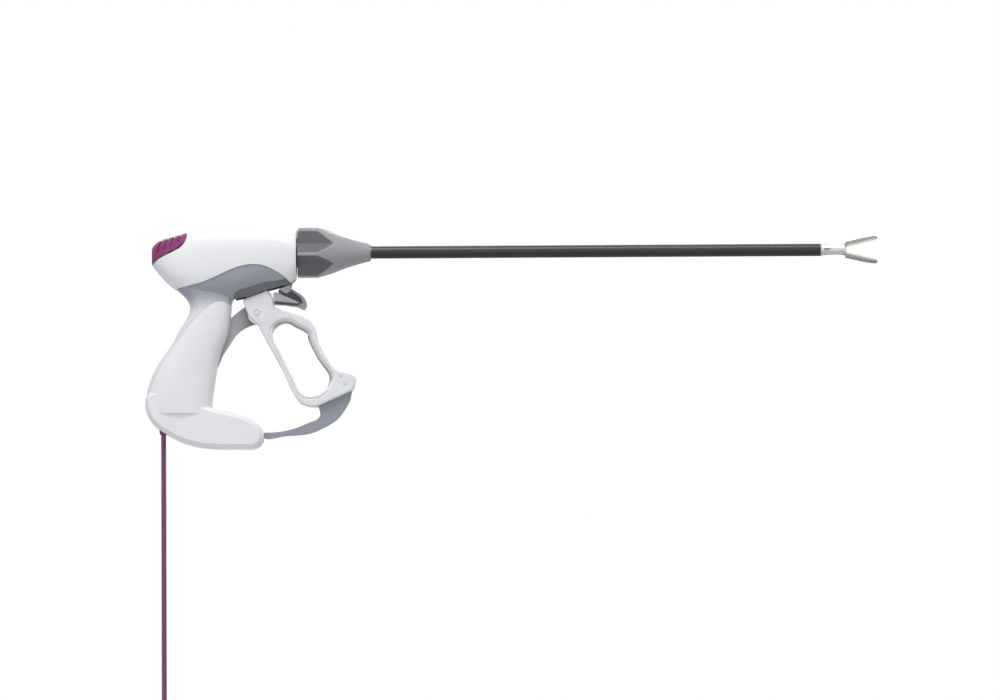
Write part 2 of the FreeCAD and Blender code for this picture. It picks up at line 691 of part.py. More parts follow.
def jaw_strip(side, low, high, trim, groove_end):
    """A flat strip on the jaw's inner face, between two heights."""
    start = float(cell.clevis_front) + 0.7
    end = start + float(cell.jaw_length) - 1.4 - trim
    half = float(cell.jaw_half_width) - trim
    nose = 2.4
    half_plan = [Vector(start, -half, low), Vector(end - nose, -half, low),
                 Vector(end, 0, low), Vector(end - nose, half, low), Vector(start, half, low)]
    edges = [Part.makeLine(half_plan[0], half_plan[1]),
             Part.Arc(half_plan[1], half_plan[2], half_plan[3]).toShape(),
             Part.makeLine(half_plan[3], half_plan[4]), Part.makeLine(half_plan[4], half_plan[0])]
    strip = Part.Face(Part.Wire(edges)).extrude(Vector(0, 0, high - low))
    knife = float(cell.knife_slot)
    strip = strip.cut(box_between(0, start + groove_end, -knife, knife, -9, 9))
    if side < 0:
        strip = strip.mirror(Vector(), Vector(0, 0, 1))
    return strip


def place_on_jaw(name, shape, side):
    """Put a jaw piece in place, opened to rest."""
    piece = solid_piece(name, shape)
    piece.Placement = Placement(Vector(float(cell.pivot_x), 0, float(cell.shaft_axis_z)),
                                jaw_turn(side))


def build_jaws():
    """Two jaws: steel back, insulating carrier and seal plate each, and stops on the lower one."""
    plate_low = float(cell.seal_gap)
    plate_high = plate_low + float(cell.seal_plate_wall)
    carrier_high = plate_high + float(cell.insulator_wall)
    groove_end = float(cell.jaw_slot_end)
    for name, side in (("upper", 1), ("lower", -1)):
        place_on_jaw(name + "_jaw", jaw_back_shape(side), side)
        place_on_jaw(name + "_insulator", jaw_strip(side, plate_high, carrier_high, -0.15,
                                                    groove_end), side)
        place_on_jaw(name + "_seal_plate", jaw_strip(side, plate_low, plate_high, 0.35,
                                                     groove_end), side)
    start = float(cell.clevis_front)
    stops = [Part.makeCylinder(0.5, 0.15, Vector(start + along, across, -plate_low),
                               Vector(0, 0, 1))
             for along in (9, 19) for across in (-1.7, 1.7)]
    place_on_jaw("seal_stops", Part.makeCompound(stops), -1)


# Drive inside the shaft: tube, tongue, cam pin, and the knife with its carriage

def rocker_tip_x():
    """Where the rocker's upper fork holds the drive collar at rest."""
    reach = float(cell.shaft_axis_z - cell.rocker_z)
    return float(cell.lever_pin_x) + reach * math.sin(math.radians(float(cell.rocker_swing)))


def link_tip_x():
    """Where the knife lever's fork holds the knife carriage at rest."""
    reach = float(cell.shaft_axis_z - cell.trigger_pivot_z)
    return float(cell.link_x) - reach * math.sin(math.radians(float(cell.link_swing) / 2))


def flanged_collar(name, half, bore, x, neck, flange):
    """A ring round the drive tube, with a groove that a fork runs in."""
    groove = cell.fork_tip_radius + cell.running_fit + 0.08
    corners = [(-half, bore), (half, bore), (half, flange), (groove, flange), (groove, neck),
               (-groove, neck), (-groove, flange), (-half, flange)]
    return turned(name, corners, x)


def build_drive():
    """What the lever pulls: collar, tube, forked tongue and cam pin."""
    tube = cell.drive_tube_radius
    inner = tube - cell.drive_tube_wall
    keep(flanged_collar("drive_collar", cell.collar_half, tube, rocker_tip_x(),
                        cell.collar_neck_radius, cell.collar_flange_radius))
    drive = ring("drive_tube", cell.drive_tube_start, cell.drive_tube_end, inner, tube)
    half = 1.1
    carriage = link_tip_x()
    slot_start = carriage - half - 0.4
    slot_end = carriage + cell.knife_travel + cell.cam_travel + half + 0.4
    cut_plate(drive, lambda sketch: polygon(sketch, [
        (slot_start, -half), (slot_end, -half), (slot_end, half), (slot_start, half)]), -5, 5)
    keep(drive)
    cam_x = cell.pivot_x - cell.cam_near
    tongue_start = cell.drive_tube_end - cell.tongue_root
    tongue_half = cell.tongue_half
    tongue_end = cam_x + cell.cam_pin_radius + 0.75
    blade_room = cell.knife_half_thickness + 0.1

    def tongue_profile(sketch):
        polygon(sketch, [(tongue_start, -tongue_half), (tongue_end - 0.6, -tongue_half),
                         (tongue_end, 0.6 - tongue_half), (tongue_end, tongue_half - 0.6),
                         (tongue_end - 0.6, tongue_half), (tongue_start, tongue_half)])
        circle(sketch, cam_x, 0, cell.cam_pin_radius + cell.press)
    for name, low, high in (("drive_tongue_left", blade_room, cell.tongue_outer),
                            ("drive_tongue_right", -cell.tongue_outer, -blade_room)):
        keep(plate(name, tongue_profile, low, high, 0, cell.shaft_axis_z))
    tip_pin("cam_pin", cam_x, cell.cam_pin_radius, None, 0)
    tip_pin("jaw_pivot_pin", cell.pivot_x, cell.pivot_pin_radius, cell.pivot_head_radius, 0.7)


def build_knife():
    """Carriage on the drive tube, its cross pin, the long rod and the slotted blade."""
    carriage = link_tip_x()
    half = cell.fork_tip_radius + cell.running_fit + 0.6
    tube = cell.drive_tube_radius + cell.running_fit
    ring_piece = flanged_collar("knife_carriage", half, tube, carriage,
                                cell.carriage_neck_radius, cell.carriage_flange_radius)
    pin_bore = cell.cross_pin_radius + cell.press
    cut_plate(ring_piece, lambda sketch: circle(sketch, 0, 0, pin_bore), -9, 9)
    keep(ring_piece)
    keep(cross_pin("knife_cross_pin", carriage, cell.shaft_axis_z, cell.cross_pin_radius,
                   cell.carriage_neck_radius - 0.2))
    blade_front = cell.pivot_x + cell.knife_reach
    slot_front = cell.pivot_x + cell.pivot_pin_radius + 0.3
    slot_rear = cell.pivot_x - cell.cam_near - cell.cam_travel - cell.knife_travel - 1.5
    rod_end = cell.drive_tube_end - cell.tongue_root - cell.cam_travel - cell.knife_travel - 0.6
    blade_rear = rod_end - 6
    high = cell.knife_half_height
    slot = cell.pivot_pin_radius + 0.15

    def blade_profile(sketch):
        polygon(sketch, [(blade_rear, -high), (blade_front - 1.6, -high), (blade_front, high),
                         (blade_rear, high)])
        polygon(sketch, [(slot_rear, -slot), (slot_front, -slot), (slot_front, slot),
                         (slot_rear, slot)])
    keep(plate("knife_blade", blade_profile, -cell.knife_half_thickness,
               cell.knife_half_thickness, 0, cell.shaft_axis_z))
    rod = plate("knife_rod", lambda sketch: polygon(sketch, [
        (carriage - 3, -cell.rod_half_height), (rod_end, -cell.rod_half_height),
        (rod_end, cell.rod_half_height), (carriage - 3, cell.rod_half_height)]),
        -cell.rod_half_width, cell.rod_half_width, 0, cell.shaft_axis_z)
    cut_plate(rod, lambda sketch: polygon(sketch, [
        (blade_rear - cell.press, -high), (blade_rear + 7, -high), (blade_rear + 7, high),
        (blade_rear - cell.press, high)]), -cell.knife_half_thickness - cell.press,
        cell.knife_half_thickness + cell.press)
    cut_plate(rod, lambda sketch: circle(sketch, carriage, 0, pin_bore), -2, 2)
    keep(rod)


# Rocker, knife lever, trigger and lever

def bar_between(sketch, start, end, half):
    """A straight bar with round ends between two points."""
    lean = math.degrees(math.atan2(end[1] - start[1], end[0] - start[0]))
    corners = [polar(*start, half, lean + 90), polar(*start, half, lean + 180),
               polar(*start, half, lean + 270), polar(*end, half, lean - 90),
               polar(*end, half, lean), polar(*end, half, lean + 90)]
    places = [Vector(u, v, 0) for u, v in corners]
    sketch.addGeometry(Part.ArcOfCircle(Part.Circle(Vector(*start, 0), Vector(0, 0, 1), half),
                                        math.radians(lean + 90), math.radians(lean + 270)), False)
    sketch.addGeometry(Part.LineSegment(places[2], places[3]), False)
    sketch.addGeometry(Part.ArcOfCircle(Part.Circle(Vector(*end, 0), Vector(0, 0, 1), half),
                                        math.radians(lean - 90), math.radians(lean + 90)), False)
    sketch.addGeometry(Part.LineSegment(places[5], places[0]), False)


def tapered_arm(sketch, tip, root):
    """An arm that narrows from the hinge to a fork tip."""
    neck = float(cell.fork_neck)
    lean = math.degrees(math.atan2(tip[1], tip[0]))
    polygon(sketch, [polar(0, 0, root, lean + 90), polar(0, 0, root, lean - 90),
                     polar(*tip, neck, lean - 90), polar(*tip, neck, lean + 90)])


def rocker_angle_down():
    """Direction of the rocker's lower arm at rest, from straight down towards the rear."""
    return -90 - float(cell.rocker_swing)


def build_rocker():
    """The rocker that turns the lever's pull round: a slotted lower arm and an upper fork."""
    down = float(cell.rocker_z - cell.lever_pin_z - cell.lever_drive_radius)
    up = float(cell.shaft_axis_z - cell.rocker_z)
    angle = rocker_angle_down()
    tip_at = polar(0, 0, up, 90 - float(cell.rocker_swing))
    rocker = new_body("rocker", cell.lever_pin_x, 0, cell.rocker_z)
    half = cell.rocker_half
    end = polar(0, 0, down + 2.4, angle)
    add_plate(rocker, lambda sketch: bar_between(sketch, (0, 0), end, 2.7), -half, half)
    add_plate(rocker, lambda sketch: circle(sketch, 0, 0, cell.hub_radius), -cell.fork_outer,
              cell.fork_outer)
    for low, high in ((cell.fork_inner, cell.fork_outer), (-cell.fork_outer, -cell.fork_inner)):
        add_plate(rocker, lambda sketch: tapered_arm(sketch, tip_at, 2.2), low, high)
        add_plate(rocker, lambda sketch: circle(sketch, *tip_at, cell.fork_tip_radius), low, high)
    slot = float(cell.drive_pin_radius) + 0.12
    near, far = polar(0, 0, down - 1.2, angle), polar(0, 0, down + 8, angle)
    cut_plate(rocker, lambda sketch: bar_between(sketch, near, far, slot), -4, 4)
    cut_plate(rocker, lambda sketch: circle(
        sketch, 0, 0, cell.hinge_pin_radius + cell.running_fit), -8, 8)
    keep(rocker)


def build_knife_lever():
    """The bell crank between trigger and knife: two L-shaped plates on one hub."""
    up = float(cell.shaft_axis_z - cell.trigger_pivot_z)
    half_swing = math.radians(float(cell.link_swing) / 2)
    arm = float(cell.link_x - cell.trigger_pivot_x + cell.trigger_arm)
    side_end = polar(0, 0, arm + 2.4, 180 + math.degrees(half_swing))
    pin_near = polar(0, 0, arm - 1.3, 180 + math.degrees(half_swing))
    pin_far = polar(0, 0, arm + 6, 180 + math.degrees(half_swing))
    top = polar(0, 0, up, 90 + math.degrees(half_swing))
    lever = new_body("knife_lever", cell.link_x, 0, cell.trigger_pivot_z)
    bar_at = polar(0, 0, cell.crank_bar_height, 90 + math.degrees(half_swing))
    add_plate(lever, lambda sketch: circle(sketch, *bar_at, 1.6), -cell.arm_outer, cell.arm_outer)
    for low, high in ((cell.arm_inner, cell.arm_outer), (-cell.arm_outer, -cell.arm_inner)):
        add_plate(lever, lambda sketch: circle(sketch, 0, 0, cell.hub_radius), low, high)
        add_plate(lever, lambda sketch: tapered_arm(sketch, top, 3.0), low, high)
        add_plate(lever, lambda sketch: circle(sketch, *top, cell.fork_tip_radius), low, high)
        add_plate(lever, lambda sketch: bar_between(sketch, (0, 0), side_end, 2.4), low, high)
    cut_plate(lever, lambda sketch: bar_between(
        sketch, pin_near, pin_far, float(cell.stub_radius) + 0.16), -9, 9)
    cut_plate(lever, lambda sketch: circle(
        sketch, 0, 0, cell.hinge_pin_radius + cell.running_fit), -9, 9)
    keep(lever)


# Side outline of the trigger's middle plate and of its wide finger pad, from its hinge
TRIGGER_PLATE = [[(2.4, 0.4), (2.2, -3.8)], [(0.8, -8), (7, -12.2), (12.2, -17.2), (13.2, -21.3)],
                 [(11.3, -24.4)], [(6.5, -22), (-3, -21.2)], [(-12.1, -19.9)], [(-12.3, -14.4)],
                 [(-9, -11.4)], [(-8.4, -8.8), (-4.5, -5.6)], [(-2.4, 0.4)]]
TRIGGER_PAD = [[(0.6, -7.5), (7.3, -11.8), (12.6, -17), (13.7, -21.4)], [(11.5, -24.9)],
               [(6.3, -22.4)], [(-0.6, -21.7)], [(-1.2, -19.4)], [(4, -18.8), (8.2, -20.6)],
               [(10.4, -19.6)], [(9.6, -16.8), (5.4, -13)], [(-0.2, -10.2)]]


def build_trigger():
    """The cutting trigger: finger pad, middle plate, hub and two arms behind it."""
    angle = 180 + float(cell.trigger_swing) / 2
    stub_at = polar(0, 0, cell.trigger_arm, angle)
    trigger = new_body("trigger", cell.trigger_pivot_x, 0, cell.trigger_pivot_z)
    add_plate(trigger, lambda sketch: outline(sketch, TRIGGER_PLATE), -3.3, 3.3)
    add_plate(trigger, lambda sketch: outline(sketch, TRIGGER_PAD), -6, 6)
    hub = cell.fork_outer + 0.2
    add_plate(trigger, lambda sketch: circle(sketch, 0, 0, cell.hub_radius), -hub, hub)
    near, far, tip = cell.fork_inner, cell.fork_outer, cell.arm_outer + 0.1
    for low, high, stub in ((near, far, (near + 0.3, tip)), (-far, -near, (-tip, -0.3 - near))):
        add_plate(trigger, lambda sketch: bar_between(sketch, (0, 0), stub_at, 2.2), low, high)
        add_plate(trigger, lambda sketch: circle(sketch, *stub_at, cell.stub_radius), *stub)
    cut_plate(trigger, lambda sketch: circle(
        sketch, 0, 0, cell.hinge_pin_radius + cell.running_fit), -9, 9)
    keep(trigger)


# Side outline of the lever, from its hinge pin: cheeks, front limb, hook and rear limb
LEVER = [[(2.5, -13.3), (10.1, -27.6), (22.9, -51.8), (30.5, -67.4)],
         [(34.5, -72.2), (39.9, -74.7)], [(47.7, -75.1)],
         [(75.7, -62.4), (78.4, -56), (77.9, -51.6), (72.9, -48.4)],
         [(65.7, -46.6), (60.8, -43.7), (56.3, -37.6), (52.3, -30.4), (48.8, -23.4),
          (46.9, -15), (44.5, -9.2), (38.9, -4.3), (31, -1.3), (21.1, 1.7)],
         [(13.9, 4.6)], [(13.4, 8.1), (12.4, 12.5)],
         [(9.7, 16.8), (8.3, 18.2)], [(4, 16.9), (-4, 14.2)], [(-11.2, 10.4)],
         [(-9.6, 4.8), (-7.4, -0.9), (-4, -5.3), (-0.4, -8.4)]]
LEVER_OPENING = [[(11.7, -17.5), (13.1, -13.7), (16.5, -10.3), (21, -8.3), (25.6, -8.5),
                  (30.3, -11.1), (36.7, -14.3)],
                 [(40.5, -17), (41.4, -23), (44.4, -29.1), (48, -36.3), (53, -43.4)],
                 [(56.8, -48.8), (57.6, -54.2), (55, -60.6), (50, -64.9), (44.2, -66.6),
                  (38.5, -66.2), (34.2, -63.3), (29.3, -54), (24.3, -44), (19.4, -34),
                  (14.4, -24.6)]]
LATCH = [[(5.4, -95.4), (20, -94.6), (32.4, -91.4), (42.2, -87.4), (48.3, -84.6)],
         [(50.1, -81.8), (49.6, -78.1)], [(47, -73)], [(58.5, -58)], [(63, -46)], [(77, -56)],
         [(74.1, -70), (69.2, -78.6), (63, -85.8), (54.4, -91.2), (44.6, -95.6), (32.3, -97.8),
          (20, -98.7), (5, -98.9)]]
RIVETS = [(66.5, -50.2), (70, -56.4)]


def build_lever():
    """The squeeze lever: a closed loop with two cheeks astride the bracket."""
    x, z = cell.lever_pin_x, cell.lever_pin_z
    half = cell.loop_half_width
    cheek = cell.cheek_half_width
    lever = plate("lever_handle", lambda sketch: outline(sketch, LEVER), -half, half, x, z)
    cut_plate(lever, lambda sketch: outline(sketch, LEVER_OPENING), -9, 9)
    gap = cell.cheek_gap
    cut_plate(lever, lambda sketch: polygon(sketch, [
        (-16, -12.5), (2, -12.5), (12.4, -5), (17, 4), (17, 22), (-16, 22)]), -gap, gap)
    for low, high in ((half, cheek), (-cheek, -half)):
        add_plate(lever, lambda sketch: circle(sketch, 0, 0, cell.hub_radius * 2), low, high)
    cut_plate(lever, lambda sketch: circle(
        sketch, 0, 0, cell.lever_pin_radius + cell.running_fit), -9, 9)
    arm = cell.latch_half_width + cell.press
    cut_plate(lever, lambda sketch: polygon(sketch, [
        (49, -80), (46.4, -73.2), (58, -57.8), (62.4, -44.5), (64, -43.4), (84, -54),
        (80, -66)]), -arm, arm)
    for u, v in RIVETS:
        cut_plate(lever, lambda sketch: circle(sketch, u, v, cell.rivet_radius), -9, 9)
    keep(lever)

    latch = plate("latch_arm", lambda sketch: outline(sketch, LATCH), -cell.latch_half_width,
                  cell.latch_half_width, x, z)
    for u, v in RIVETS:
        cut_plate(latch, lambda sketch: circle(sketch, u, v, cell.rivet_radius), -9, 9)
    keep(latch)
    rivets = [cross_pin("latch_rivet%d" % number, x + u, z + v, cell.rivet_radius - cell.press,
                        half + 0.3) for number, (u, v) in enumerate(RIVETS, start=1)]
    group = doc.addObject("Part::Compound", "latch_rivets")
    group.Label = "latch_rivets"
    group.Links = rivets
    keep(group)

    pin_at = polar(0, 0, cell.lever_drive_radius, 90 + float(cell.lever_swing) / 2)

    def yoke_profile(sketch):
        outline(sketch, [[(-7, -4), (3, -8), (8.5, 3)], [(1.5, 13), pin_at_front],
                         [pin_at_top, pin_at_rear], [(-8.6, 9)]])
    pin_at_front = (pin_at[0] + 2.4, pin_at[1])
    pin_at_top = (pin_at[0], pin_at[1] + 2.4)
    pin_at_rear = (pin_at[0] - 2.4, pin_at[1])
    yoke = new_body("drive_yoke", x, 0, z)
    for low, high in ((cell.yoke_inner, cell.yoke_outer), (-cell.yoke_outer, -cell.yoke_inner)):
        add_plate(yoke, yoke_profile, low, high)
    add_plate(yoke, lambda sketch: circle(sketch, *pin_at, cell.drive_pin_radius),
              -cell.yoke_outer, cell.yoke_outer)
    cut_plate(yoke, lambda sketch: circle(
        sketch, 0, 0, cell.lever_pin_radius + cell.running_fit), -9, 9)
    keep(yoke)


def build_bracket_and_pins():
    """The bracket in front of the grip, the hinge pins and the front bearing ring."""
    web = prism(web_runs(), -float(cell.web_half_width), float(cell.web_half_width))
    holes = [pin_hole(x, z, cell.screw_radius, -9, 9) for x, z in SCREWS]
    bosses = [pin_hole(x, z, float(cell.boss_radius), -9, 9) for x, z in SCREWS]
    web = web.cut([pin_hole(cell.lever_pin_x, cell.lever_pin_z,
                            cell.lever_pin_radius, -9, 9)] + holes + bosses)
    solid_piece("lever_bracket", web)
    keep(cross_pin("lever_pin", cell.lever_pin_x, cell.lever_pin_z, cell.lever_pin_radius,
                   cell.cheek_half_width))
    for name, x, z in (("rocker_pin", cell.lever_pin_x, cell.rocker_z),
                       ("trigger_pin", cell.trigger_pivot_x, cell.trigger_pivot_z)):
        keep(cross_pin(name, x, z, cell.hinge_pin_radius, cell.pin_half_length))
    short = new_body("knife_lever_pins", cell.link_x, 0, cell.trigger_pivot_z)
    for low, high in ((cell.arm_inner, cell.pin_half_length),
                      (-cell.pin_half_length, -cell.arm_inner)):
        add_plate(short, lambda sketch: circle(sketch, 0, 0, cell.hinge_pin_radius), low, high)
    keep(short)
    keep(ring("front_bearing", cell.spigot_start + cell.knob_flange_wall + cell.slide_fit,
              cell.front_face - cell.wall, cell.knob_spigot_radius + cell.slide_fit,
              cell.collar_outer_radius))


def build_screws():
    """Five housing screws, put in from the left side."""
    screws = []
    for x, z in SCREWS:
        shank = pin_hole(x, z, float(cell.screw_radius) - 0.05, -float(cell.screw_reach), 13.6)
        head = pin_hole(x, z, float(cell.screw_radius) * 1.8, 13.6, 15.4)
        screws.append(shank.fuse(head))
    solid_piece("housing_screws", Part.makeCompound(screws))


# Thumb button, switch and board at the rear of the barrel

def build_button():
    """The thumb button: the barrel's own skin over the rear slope, with four grip grooves."""
    cap = barrel_form(0).common(button_region(0))
    hollow = barrel_form(2.0).common(button_region(0)).common(button_region(-2.0))
    cap = cap.cut(hollow)
    skin = barrel_form(0).cut(barrel_form(0.8)).common(button_region(-4))
    for x in (-22.5, -18, -13.5, -9):
        slab = box_between(-0.6, 0.6, -40, 40, -20, 20)
        slab.Placement = Placement(Vector(x, 0, 88), Rotation(Vector(0, 1, 0), 20))
        cap = cap.cut(skin.common(slab))
    middle = Vector(-15.5, 0, 80)
    stem = Part.makeCylinder(1.8, 14, middle - BUTTON_PRESS * 5, BUTTON_PRESS)
    cap = cap.fuse(stem)
    solid_piece("thumb_button", sorted(cap.Solids, key=lambda part: part.Volume)[-1])
    seat = middle + BUTTON_PRESS * (9 + 1.8)
    turn = Rotation(Vector(1, 0, 0), Vector(0, 1, 0), BUTTON_PRESS * -1, "ZYX")
    switch = Part.makeBox(8, 8, 5, Vector(-4, -4, -5))
    board = Part.makeBox(14, 22, 1.6, Vector(-7, -11, -6.6))
    for name, shape in (("switch", switch), ("switch_board", board)):
        shape.Placement = Placement(seat, turn)
        solid_piece(name, Part.makeCompound([shape]))


# Cord: gland, hanging lead, tied coil, tail and plug

def ring_about_cord(name, x, z):
    """A flat band round the coil's bundle, at its side."""
    tie = new_body(name, x, 0, z)
    inner = cell.coil_thickness + cell.tie_gap
    sketch = new_sketch(tie, "XY_Plane")
    circle(sketch, 0, 0, inner + 1.2)
    circle(sketch, 0, 0, inner)
    pad(tie, sketch, 7, True)
    return tie


def build_cord():
    """The cord hangs from the foot to a tied coil with the plug below it."""
    x, radius = cell.cord_x, cell.cord_radius
    gland = new_body("cord_gland", x, 0, 0)
    sketch = new_sketch(gland, "XZ_Plane")
    bore = radius + cell.press
    polygon(sketch, [(bore, cell.gland_bottom), (cell.gland_radius - 0.8, cell.gland_bottom),
                     (cell.gland_radius, cell.gland_bottom + 2.4),
                     (cell.gland_radius, cell.gland_top), (bore, cell.gland_top)])
    feature = gland.newObject("PartDesign::Revolution", "cord_gland_turn")
    feature.Profile = sketch
    feature.ReferenceAxis = (sketch, ["V_Axis"])
    feature.Angle = 360
    keep(gland)

    def rod(name, top, bottom):
        piece = doc.addObject("Part::Cylinder", name)
        piece.Label = name
        piece.Placement = Placement(Vector(float(x), 0, float(bottom)), Rotation())
        bind(piece, Radius=radius, Height=top - bottom, Placement__Base__x=x,
             Placement__Base__z=bottom)
        return keep(piece)
    rod("cord_lead", cell.gland_top, cell.lead_bottom)
    coil = doc.addObject("Part::Torus", "cord_coil")
    coil.Label = "cord_coil"
    centre = cell.lead_bottom - cell.coil_radius - cell.coil_thickness
    coil.Placement = Placement(Vector(float(x), 0, float(centre)), Rotation(Vector(1, 0, 0), 90))
    bind(coil, Radius1=cell.coil_radius, Radius2=cell.coil_thickness, Placement__Base__x=x,
         Placement__Base__z=centre)
    keep(coil)
    tail_top = centre - cell.coil_radius - cell.coil_thickness
    plug_top = tail_top - cell.tail_length
    rod("cord_tail", tail_top, plug_top)
    keep(ring_about_cord("cord_tie", x + cell.coil_radius, centre))
    plug = new_body("plug", x, 0, plug_top)
    sketch = new_sketch(plug, "YZ_Plane")
    half = cell.plug_depth / 2
    polygon(sketch, [(-half, -cell.plug_length), (half, -cell.plug_length), (half, -9),
                     (3.4, 0), (-3.4, 0), (-half, -9)])
    pad(plug, sketch, cell.plug_width, True)
    keep(plug)
    pins = []
    for number, across in enumerate((-7, 0, 7), start=1):
        pin = doc.addObject("Part::Cylinder", "plug_pin%d" % number)
        low = plug_top - cell.plug_length - cell.plug_pin_length
        pin.Placement = Placement(Vector(float(x) + across, 0, float(low)), Rotation())
        bind(pin, Radius=cell.plug_pin_radius, Height=cell.plug_pin_length,
             Placement__Base__x=x + across, Placement__Base__z=low)
        pins.append(pin)
    group = doc.addObject("Part::Compound", "plug_pins")
    group.Label = "plug_pins"
    group.Links = pins
    keep(group)


build_knob()
build_shaft()
build_clevis()
build_jaws()
build_drive()
build_knife()
build_rocker()
build_knife_lever()
build_trigger()
build_lever()
build_bracket_and_pins()
build_screws()
build_button()
build_cord()
build_housing()
doc.recompute()

failed = [item.Name for item in doc.Objects if {"Invalid", "Error"} & set(item.State)]
if failed:
    raise RuntimeError("objects that failed: " + ", ".join(failed))
for piece in pieces:
    if piece.Shape.isNull() or not piece.Shape.isValid():
        raise RuntimeError("no valid shape: " + piece.Label)
os.makedirs("parts", exist_ok=True)
for piece in pieces:
    piece.Shape.exportStep("parts/%s.step" % piece.Label)
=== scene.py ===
# %% [markdown]
# # Vessel sealing device
# The housing, lever, shaft and jaws arrive as finished solids from the CAD model. This script gives
# them their finishes and adds the cord, the camera and the light. First the imported model is
# loaded, and its box is kept; the floor is placed just under it.

# %% Load the imported model
import math

import bmesh
import bpy
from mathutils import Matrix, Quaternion, Vector
from mathutils.bvhtree import BVHTree
from mathutils.geometry import delaunay_2d_cdt


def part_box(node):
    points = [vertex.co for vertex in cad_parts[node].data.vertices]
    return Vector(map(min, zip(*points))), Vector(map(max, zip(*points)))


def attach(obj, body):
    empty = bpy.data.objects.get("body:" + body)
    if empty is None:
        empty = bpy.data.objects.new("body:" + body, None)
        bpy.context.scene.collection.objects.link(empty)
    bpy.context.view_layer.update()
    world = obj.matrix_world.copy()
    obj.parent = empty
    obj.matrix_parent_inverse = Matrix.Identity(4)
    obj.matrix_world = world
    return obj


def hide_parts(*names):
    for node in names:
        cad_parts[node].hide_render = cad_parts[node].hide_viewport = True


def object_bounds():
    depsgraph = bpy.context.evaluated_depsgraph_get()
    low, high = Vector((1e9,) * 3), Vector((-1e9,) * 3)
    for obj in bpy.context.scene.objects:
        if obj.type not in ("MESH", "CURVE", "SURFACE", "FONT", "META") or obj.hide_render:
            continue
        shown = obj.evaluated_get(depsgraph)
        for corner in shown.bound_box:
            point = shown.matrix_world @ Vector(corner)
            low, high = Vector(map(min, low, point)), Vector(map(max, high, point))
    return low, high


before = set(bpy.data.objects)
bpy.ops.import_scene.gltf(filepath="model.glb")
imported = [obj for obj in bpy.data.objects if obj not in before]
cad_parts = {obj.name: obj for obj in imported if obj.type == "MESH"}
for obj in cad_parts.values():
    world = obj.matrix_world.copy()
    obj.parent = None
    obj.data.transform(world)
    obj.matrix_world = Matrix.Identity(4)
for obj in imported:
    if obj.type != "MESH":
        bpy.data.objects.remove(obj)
cad_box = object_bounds()

MM = 0.001
scene = bpy.context.scene
scene.view_settings.view_transform = "Standard"

# %% [markdown]
# ## Camera
# The photograph was taken from far away through a long lens, so parallel edges stay parallel.
# One pixel covers 0.8 mm at the shaft's plane, the frame is 1000 pixels wide, and the device
# leans by a third of a degree in it.

# %% Camera
VIEW_WIDTH = 0.800
VIEW_CENTRE = Vector((0.248, 0.0, 0.0001))
DISTANCE = 6.0
ELEVATION = math.radians(-4.0)
LEAN = math.radians(-0.34)

camera_data = bpy.data.cameras.new("camera")
camera_data.lens = camera_data.sensor_width * DISTANCE / VIEW_WIDTH
camera_data.clip_end = 100.0
camera = bpy.data.objects.new("camera", camera_data)
scene.collection.objects.link(camera)
back = Vector((0.0, -math.cos(ELEVATION), math.sin(ELEVATION)))
camera.location = VIEW_CENTRE + back * DISTANCE
camera.rotation_mode = "QUATERNION"
camera.rotation_quaternion = (-back).to_track_quat("-Z", "Y") @ Quaternion((0, 0, 1), LEAN)
scene.camera = camera

# %% [markdown]
# ## Cord
# The purple cord leaves the foot through a short gland and hangs straight down. About three
# metres of it are put away as a neat round coil with a tie, and a plug hangs below. A coil of
# many turns is hard to draw by hand, but its rule is simple: each turn runs at one place of a
# round bundle's section, and steps over to the next place while it passes under the tie.

# %% Cord
CORD_DIAMETER = 0.004
GLAND_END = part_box("cord_gland")[0].z
CORD_X = sum(corner.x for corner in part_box("cord_gland")) / 2
COIL_LOW, COIL_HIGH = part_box("cord_coil")
COIL_CENTRE = (COIL_LOW + COIL_HIGH) / 2
TAIL_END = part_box("cord_tail")[0].z
COIL_RADIUS = 0.028
ROW = CORD_DIAMETER * math.sqrt(3) / 2
HALF = CORD_DIAMETER / 2
PLACES = [(2, 0), (2, 2), (1, 3), (1, 1), (0, 2), (-1, 3), (-2, 2), (-1, 1), (0, 0), (-1, -1),
          (-2, 0), (-2, -2), (-1, -3), (0, -2), (1, -1), (2, -2)]
POINTS_PER_TURN = 15
BEND = 0.017


def coil_points():
    """The coil's turns, from the top of the ring to its bottom."""
    points = []
    turns = len(PLACES) - 0.5
    for number in range(int(turns * POINTS_PER_TURN) + 1):
        share = number / POINTS_PER_TURN
        place = min(int(share + 0.75), len(PLACES) - 1)
        out, across = PLACES[place]
        radius = COIL_RADIUS + out * ROW
        angle = math.pi / 2 + share * 2 * math.pi
        points.append(Vector((COIL_CENTRE.x + radius * math.cos(angle), across * HALF,
                              COIL_CENTRE.z + radius * math.sin(angle))))
    return points


ring = coil_points()
hang = [Vector((CORD_X, 0, z)) for z in
        (GLAND_END, -0.085, -0.120, -0.160, -0.200, -0.240, ring[0].z + BEND)]
entry, leave = ring[0], ring[-1]
route = (hang + [Vector((CORD_X, 0, entry.z + 0.004)), Vector((CORD_X - 0.005, 0, entry.z))]
         + ring[1:-1]
         + [Vector((CORD_X - 0.005, leave.y, leave.z)),
            Vector((CORD_X, leave.y / 2, leave.z - 0.004))]
         + [Vector((CORD_X, 0, z)) for z in (leave.z - BEND, (leave.z + TAIL_END) / 2, TAIL_END)])


def smooth_line(name, points, radius, ends=True):
    """A round cord along one smooth spline whose control points are given."""
    curve = bpy.data.curves.new(name, "CURVE")
    curve.dimensions = "3D"
    curve.resolution_u = 6
    curve.bevel_depth = radius
    curve.bevel_resolution = 5
    curve.use_fill_caps = ends
    line = curve.splines.new("NURBS")
    line.points.add(len(points) - 1)
    for control, point in zip(line.points, points):
        control.co = (*point, 1.0)
    line.order_u = 3
    line.use_endpoint_u = True
    piece = bpy.data.objects.new(name, curve)
    scene.collection.objects.link(piece)
    return piece


